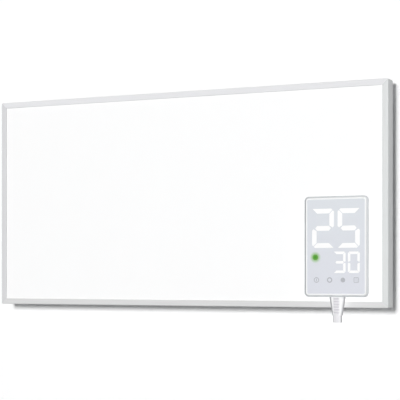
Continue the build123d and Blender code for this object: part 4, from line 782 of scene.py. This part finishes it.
# Finishes for the pieces that keep their modelled shape: each one's maker, its look and its nodes
finishes = {
    "litMilkyAcrylic": (
        # cast milky acrylic, lit from behind: even white bars, just brighter than the paper-white bezel
        litDiffuser, {"colour": "#F6F6F6", "roughness": 0.35, "ior": 1.49, "dimmest": 0.03,
                      "brightest": 0.07, "spot": 6.0},
        ["large_digits", "small_digits"]),
    "greyScreenInk": (
        # screen-printed ink: matt grey marks beside the face's gloss
        screenInk, {"colour": "#B4B6BC", "dull": "#A8AAB1", "roughness": 0.5, "mesh": 0.8}, ["touch_icons"]),
    "whitePowderCoat": (
        # polyester powder coat on steel: a chalk-clean white with a barely felt texture
        powderCoat, {"colour": "#FEFEFE", "dull": "#FCFCFC", "roughness": 0.6, "ior": 1.5, "peel": 2.2,
                     "peelDepth": 0.02, "relief": 0.25, "speckle": 0.8}, ["radiant_plate"]),
    "greyCoilCoat": (
        # roller-coated steel: flat pale grey, slightly silky
        powderCoat, {"colour": "#C9CCCF", "dull": "#C2C5C8", "roughness": 0.55, "ior": 1.5, "peel": 3.0,
                     "peelDepth": 0.015, "relief": 0.2, "speckle": 1.5}, ["back_sheet"]),
    "galvanisedSteel": (
        # hot-dip galvanised sheet: a cool patchwork of zinc crystals, each catching the light by itself
        zincCoatedSteel, {"colour": "#C4C8CC", "dull": "#A4A9AE", "roughness": 0.38, "glossSpread": 0.11,
                          "metallic": 0.85, "crystal": 5.0, "skin": 0.8, "skinDepth": 0.03, "relief": 0.15},
        ["wall_bracket_left", "wall_bracket_right", "hanger_left", "hanger_right"]),
    "zincPlatedScrewSteel": (
        # electroplated zinc, clear passivated: bright blue-white metal
        brightMetal, {"colour": "#D3D7DC", "dull": "#B7BDC6", "roughness": 0.3, "glossSpread": 0.1,
                      "metallic": 1.0, "cloud": 3.0, "scratch": 0.3, "stretch": 0.08},
        ["back_sheet_screws", "base_plate_screws", "housing_screws", "clamp_screws", "terminal_screws",
         "corner_key_screws", "clinch_nuts", "earth_stud"]),
    "drawnAluminium": (
        # drawn aluminium, bare: soft grey-white metal with die marks
        brightMetal, {"colour": "#DADBDD", "dull": "#C2C4C7", "roughness": 0.37, "glossSpread": 0.1,
                      "metallic": 1.0, "cloud": 6.0, "scratch": 0.4, "stretch": 0.08},
        ["hanger_rivets", "corner_keys"]),
    "tinnedBrass": (
        # stamped brass: warm yellow metal
        brightMetal, {"colour": "#D9BE74", "dull": "#BE9C50", "roughness": 0.27, "glossSpread": 0.1,
                      "metallic": 1.0, "cloud": 2.0, "scratch": 0.3, "stretch": 0.08},
        ["contact_springs", "contact_blades", "earth_nut"]),
    "rolledCopper": (
        # rolled copper foil: pink metal going brown in patches
        brightMetal, {"colour": "#D58D6B", "dull": "#B46F50", "roughness": 0.32, "glossSpread": 0.1,
                      "metallic": 1.0, "cloud": 8.0, "scratch": 0.5, "stretch": 0.08},
        ["bus_bars", "earth_lug"]),
    "satinGreyAbs": (
        # ABS from a spark-eroded mould: pale warm grey with a fine even grain
        mouldedPlastic, {"colour": "#CFD2D4", "dull": "#CACDCF", "roughness": 0.45, "glossSpread": 0.06,
                         "ior": 1.53, "grain": 0.6, "grainDepth": 0.04, "relief": 0.15, "flow": 20.0},
        ["back_shell", "base_plate", "lead_clamp"]),
    "whitePolycarbonate": (
        # reflector-grade polycarbonate, moulded: opaque, slightly creamy white
        mouldedPlastic, {"colour": "#EFEFEC", "dull": "#EAEAE6", "roughness": 0.5, "glossSpread": 0.06,
                         "ior": 1.58, "grain": 0.5, "grainDepth": 0.04, "relief": 0.12, "flow": 15.0},
        ["light_guide", "contact_block"]),
    "blackThermoset": (
        # phenolic or epoxy, pressed: dense black with a dry sheen
        mouldedPlastic, {"colour": "#26262A", "dull": "#1C1C1F", "roughness": 0.4, "glossSpread": 0.06,
                         "ior": 1.6, "grain": 0.4, "grainDepth": 0.04, "relief": 0.12, "flow": 10.0},
        ["thermal_cutout", "temperature_sensor", "relay", "control_chip"]),
    "yellowFilmCapacitorCase": (
        # filled polypropylene case: mustard yellow, half gloss
        mouldedPlastic, {"colour": "#D9A93A", "dull": "#CF9C2C", "roughness": 0.35, "glossSpread": 0.06,
                         "ior": 1.5, "grain": 0.8, "grainDepth": 0.04, "relief": 0.12, "flow": 8.0},
        ["film_capacitor"]),
    "greenPolyamide": (
        # polyamide, moulded: saturated green, slightly waxy
        mouldedPlastic, {"colour": "#2E7A4B", "dull": "#276B41", "roughness": 0.4, "glossSpread": 0.06,
                         "ior": 1.53, "grain": 0.5, "grainDepth": 0.04, "relief": 0.12, "flow": 8.0},
        ["mains_terminal_block"]),
    "siliconeRubber": (
        # silicone, pressed: translucent-looking grey with a dusty surface
        mouldedPlastic, {"colour": "#A9ABAE", "dull": "#9FA1A4", "roughness": 0.6, "glossSpread": 0.06,
                         "ior": 1.43, "grain": 0.6, "grainDepth": 0.04, "relief": 0.12, "flow": 6.0},
        ["base_plate_pads", "wire_grommet"]),
    "whiteSiliconeSleeve": (
        # extruded silicone insulation: soft white, no shine
        mouldedPlastic, {"colour": "#ECECE8", "dull": "#E2E2DD", "roughness": 0.55, "glossSpread": 0.06,
                         "ior": 1.43, "grain": 0.4, "grainDepth": 0.04, "relief": 0.12, "flow": 12.0},
        ["heater_wires"]),
    "ledPackage": (
        # epoxy over phosphor: pale yellow, glossy
        mouldedPlastic, {"colour": "#F2EDC4", "dull": "#EDE6B2", "roughness": 0.3, "glossSpread": 0.06,
                         "ior": 1.5, "grain": 0.4, "grainDepth": 0.04, "relief": 0.12, "flow": 2.0},
        ["display_leds"]),
    "greenYellowSleeve": (
        # extruded silicone in two colours, the earth wire's bands
        bandedFilm, {"colour": "#E0D23A", "dull": "#3B8C3E", "roughness": 0.5, "ior": 1.43, "bandPair": 8.0,
                     "waver": 0.0, "across": "X"}, ["earth_wire"]),
    "carbonHeatingLaminate": (
        # carbon ink printed in strips on polyester: matt black bands on dark grey
        bandedFilm, {"colour": "#3A3A3D", "dull": "#161618", "roughness": 0.6, "ior": 1.57, "bandPair": 16.0,
                     "waver": 0.0, "across": "X"}, ["heating_laminate"]),
    "amberPolyesterFilm": (
        # calendered polyester film: amber, with slow waves of thickness
        bandedFilm, {"colour": "#E6CB86", "dull": "#E0C27A", "roughness": 0.3, "ior": 1.57, "bandPair": 60.0,
                     "waver": 3.0, "across": "Z"}, ["insulating_film"]),
    "greenCircuitBoard": (
        # solder mask over etched copper: glossy green in two depths
        circuitLaminate, {"colour": "#2C7F4E", "dull": "#165A33", "roughness": 0.35, "ior": 1.55,
                          "track": 5.0}, ["circuit_board"]),
    "mineralWool": (
        # resin-bonded mineral fibre: straw yellow, matted and light-swallowing
        fibrousBoard, {"colour": "#DCC88F", "dull": "#B79C5D", "roughness": 0.95, "fibre": 3.0,
                       "fibreDepth": 0.3, "relief": 0.6, "stretch": (1.0, 4.0, 1.0)}, ["insulation_board"]),
    "closedCellFoam": (
        # closed-cell foam: flat dark grey with a fine pitted skin
        fibrousBoard, {"colour": "#77797C", "dull": "#5C5E61", "roughness": 0.9, "fibre": 1.2,
                       "fibreDepth": 0.3, "relief": 0.6, "stretch": (1.0, 1.0, 1.0)},
        ["edge_spacers", "touch_pads"]),
}
finished = [(tintedAcrylic("greyTintedAcrylic", facePanel), ["face_panel"])]
finished += [(maker(name, look), nodes) for name, (maker, look, nodes) in finishes.items()]
for material, nodes in finished:
    for name in nodes:
        mesh = frame["nodes"][name].data
        mesh.materials.clear()
        mesh.materials.append(material)
print("finishes set:", sum(len(nodes) for _, nodes in finished), "nodes")

# The key lamp's light passes the control box, whose pieces are left out of what blocks it
blockers = bpy.data.collections.new("keyLampBlockers")
for piece in frame["bodies"][stage["shadowless"]].children:
    blockers.objects.link(piece)
for member in blockers.collection_objects:
    member.light_linking.link_state = "EXCLUDE"
bpy.data.objects["keyLamp"].light_linking.blocker_collection = blockers

low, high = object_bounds()
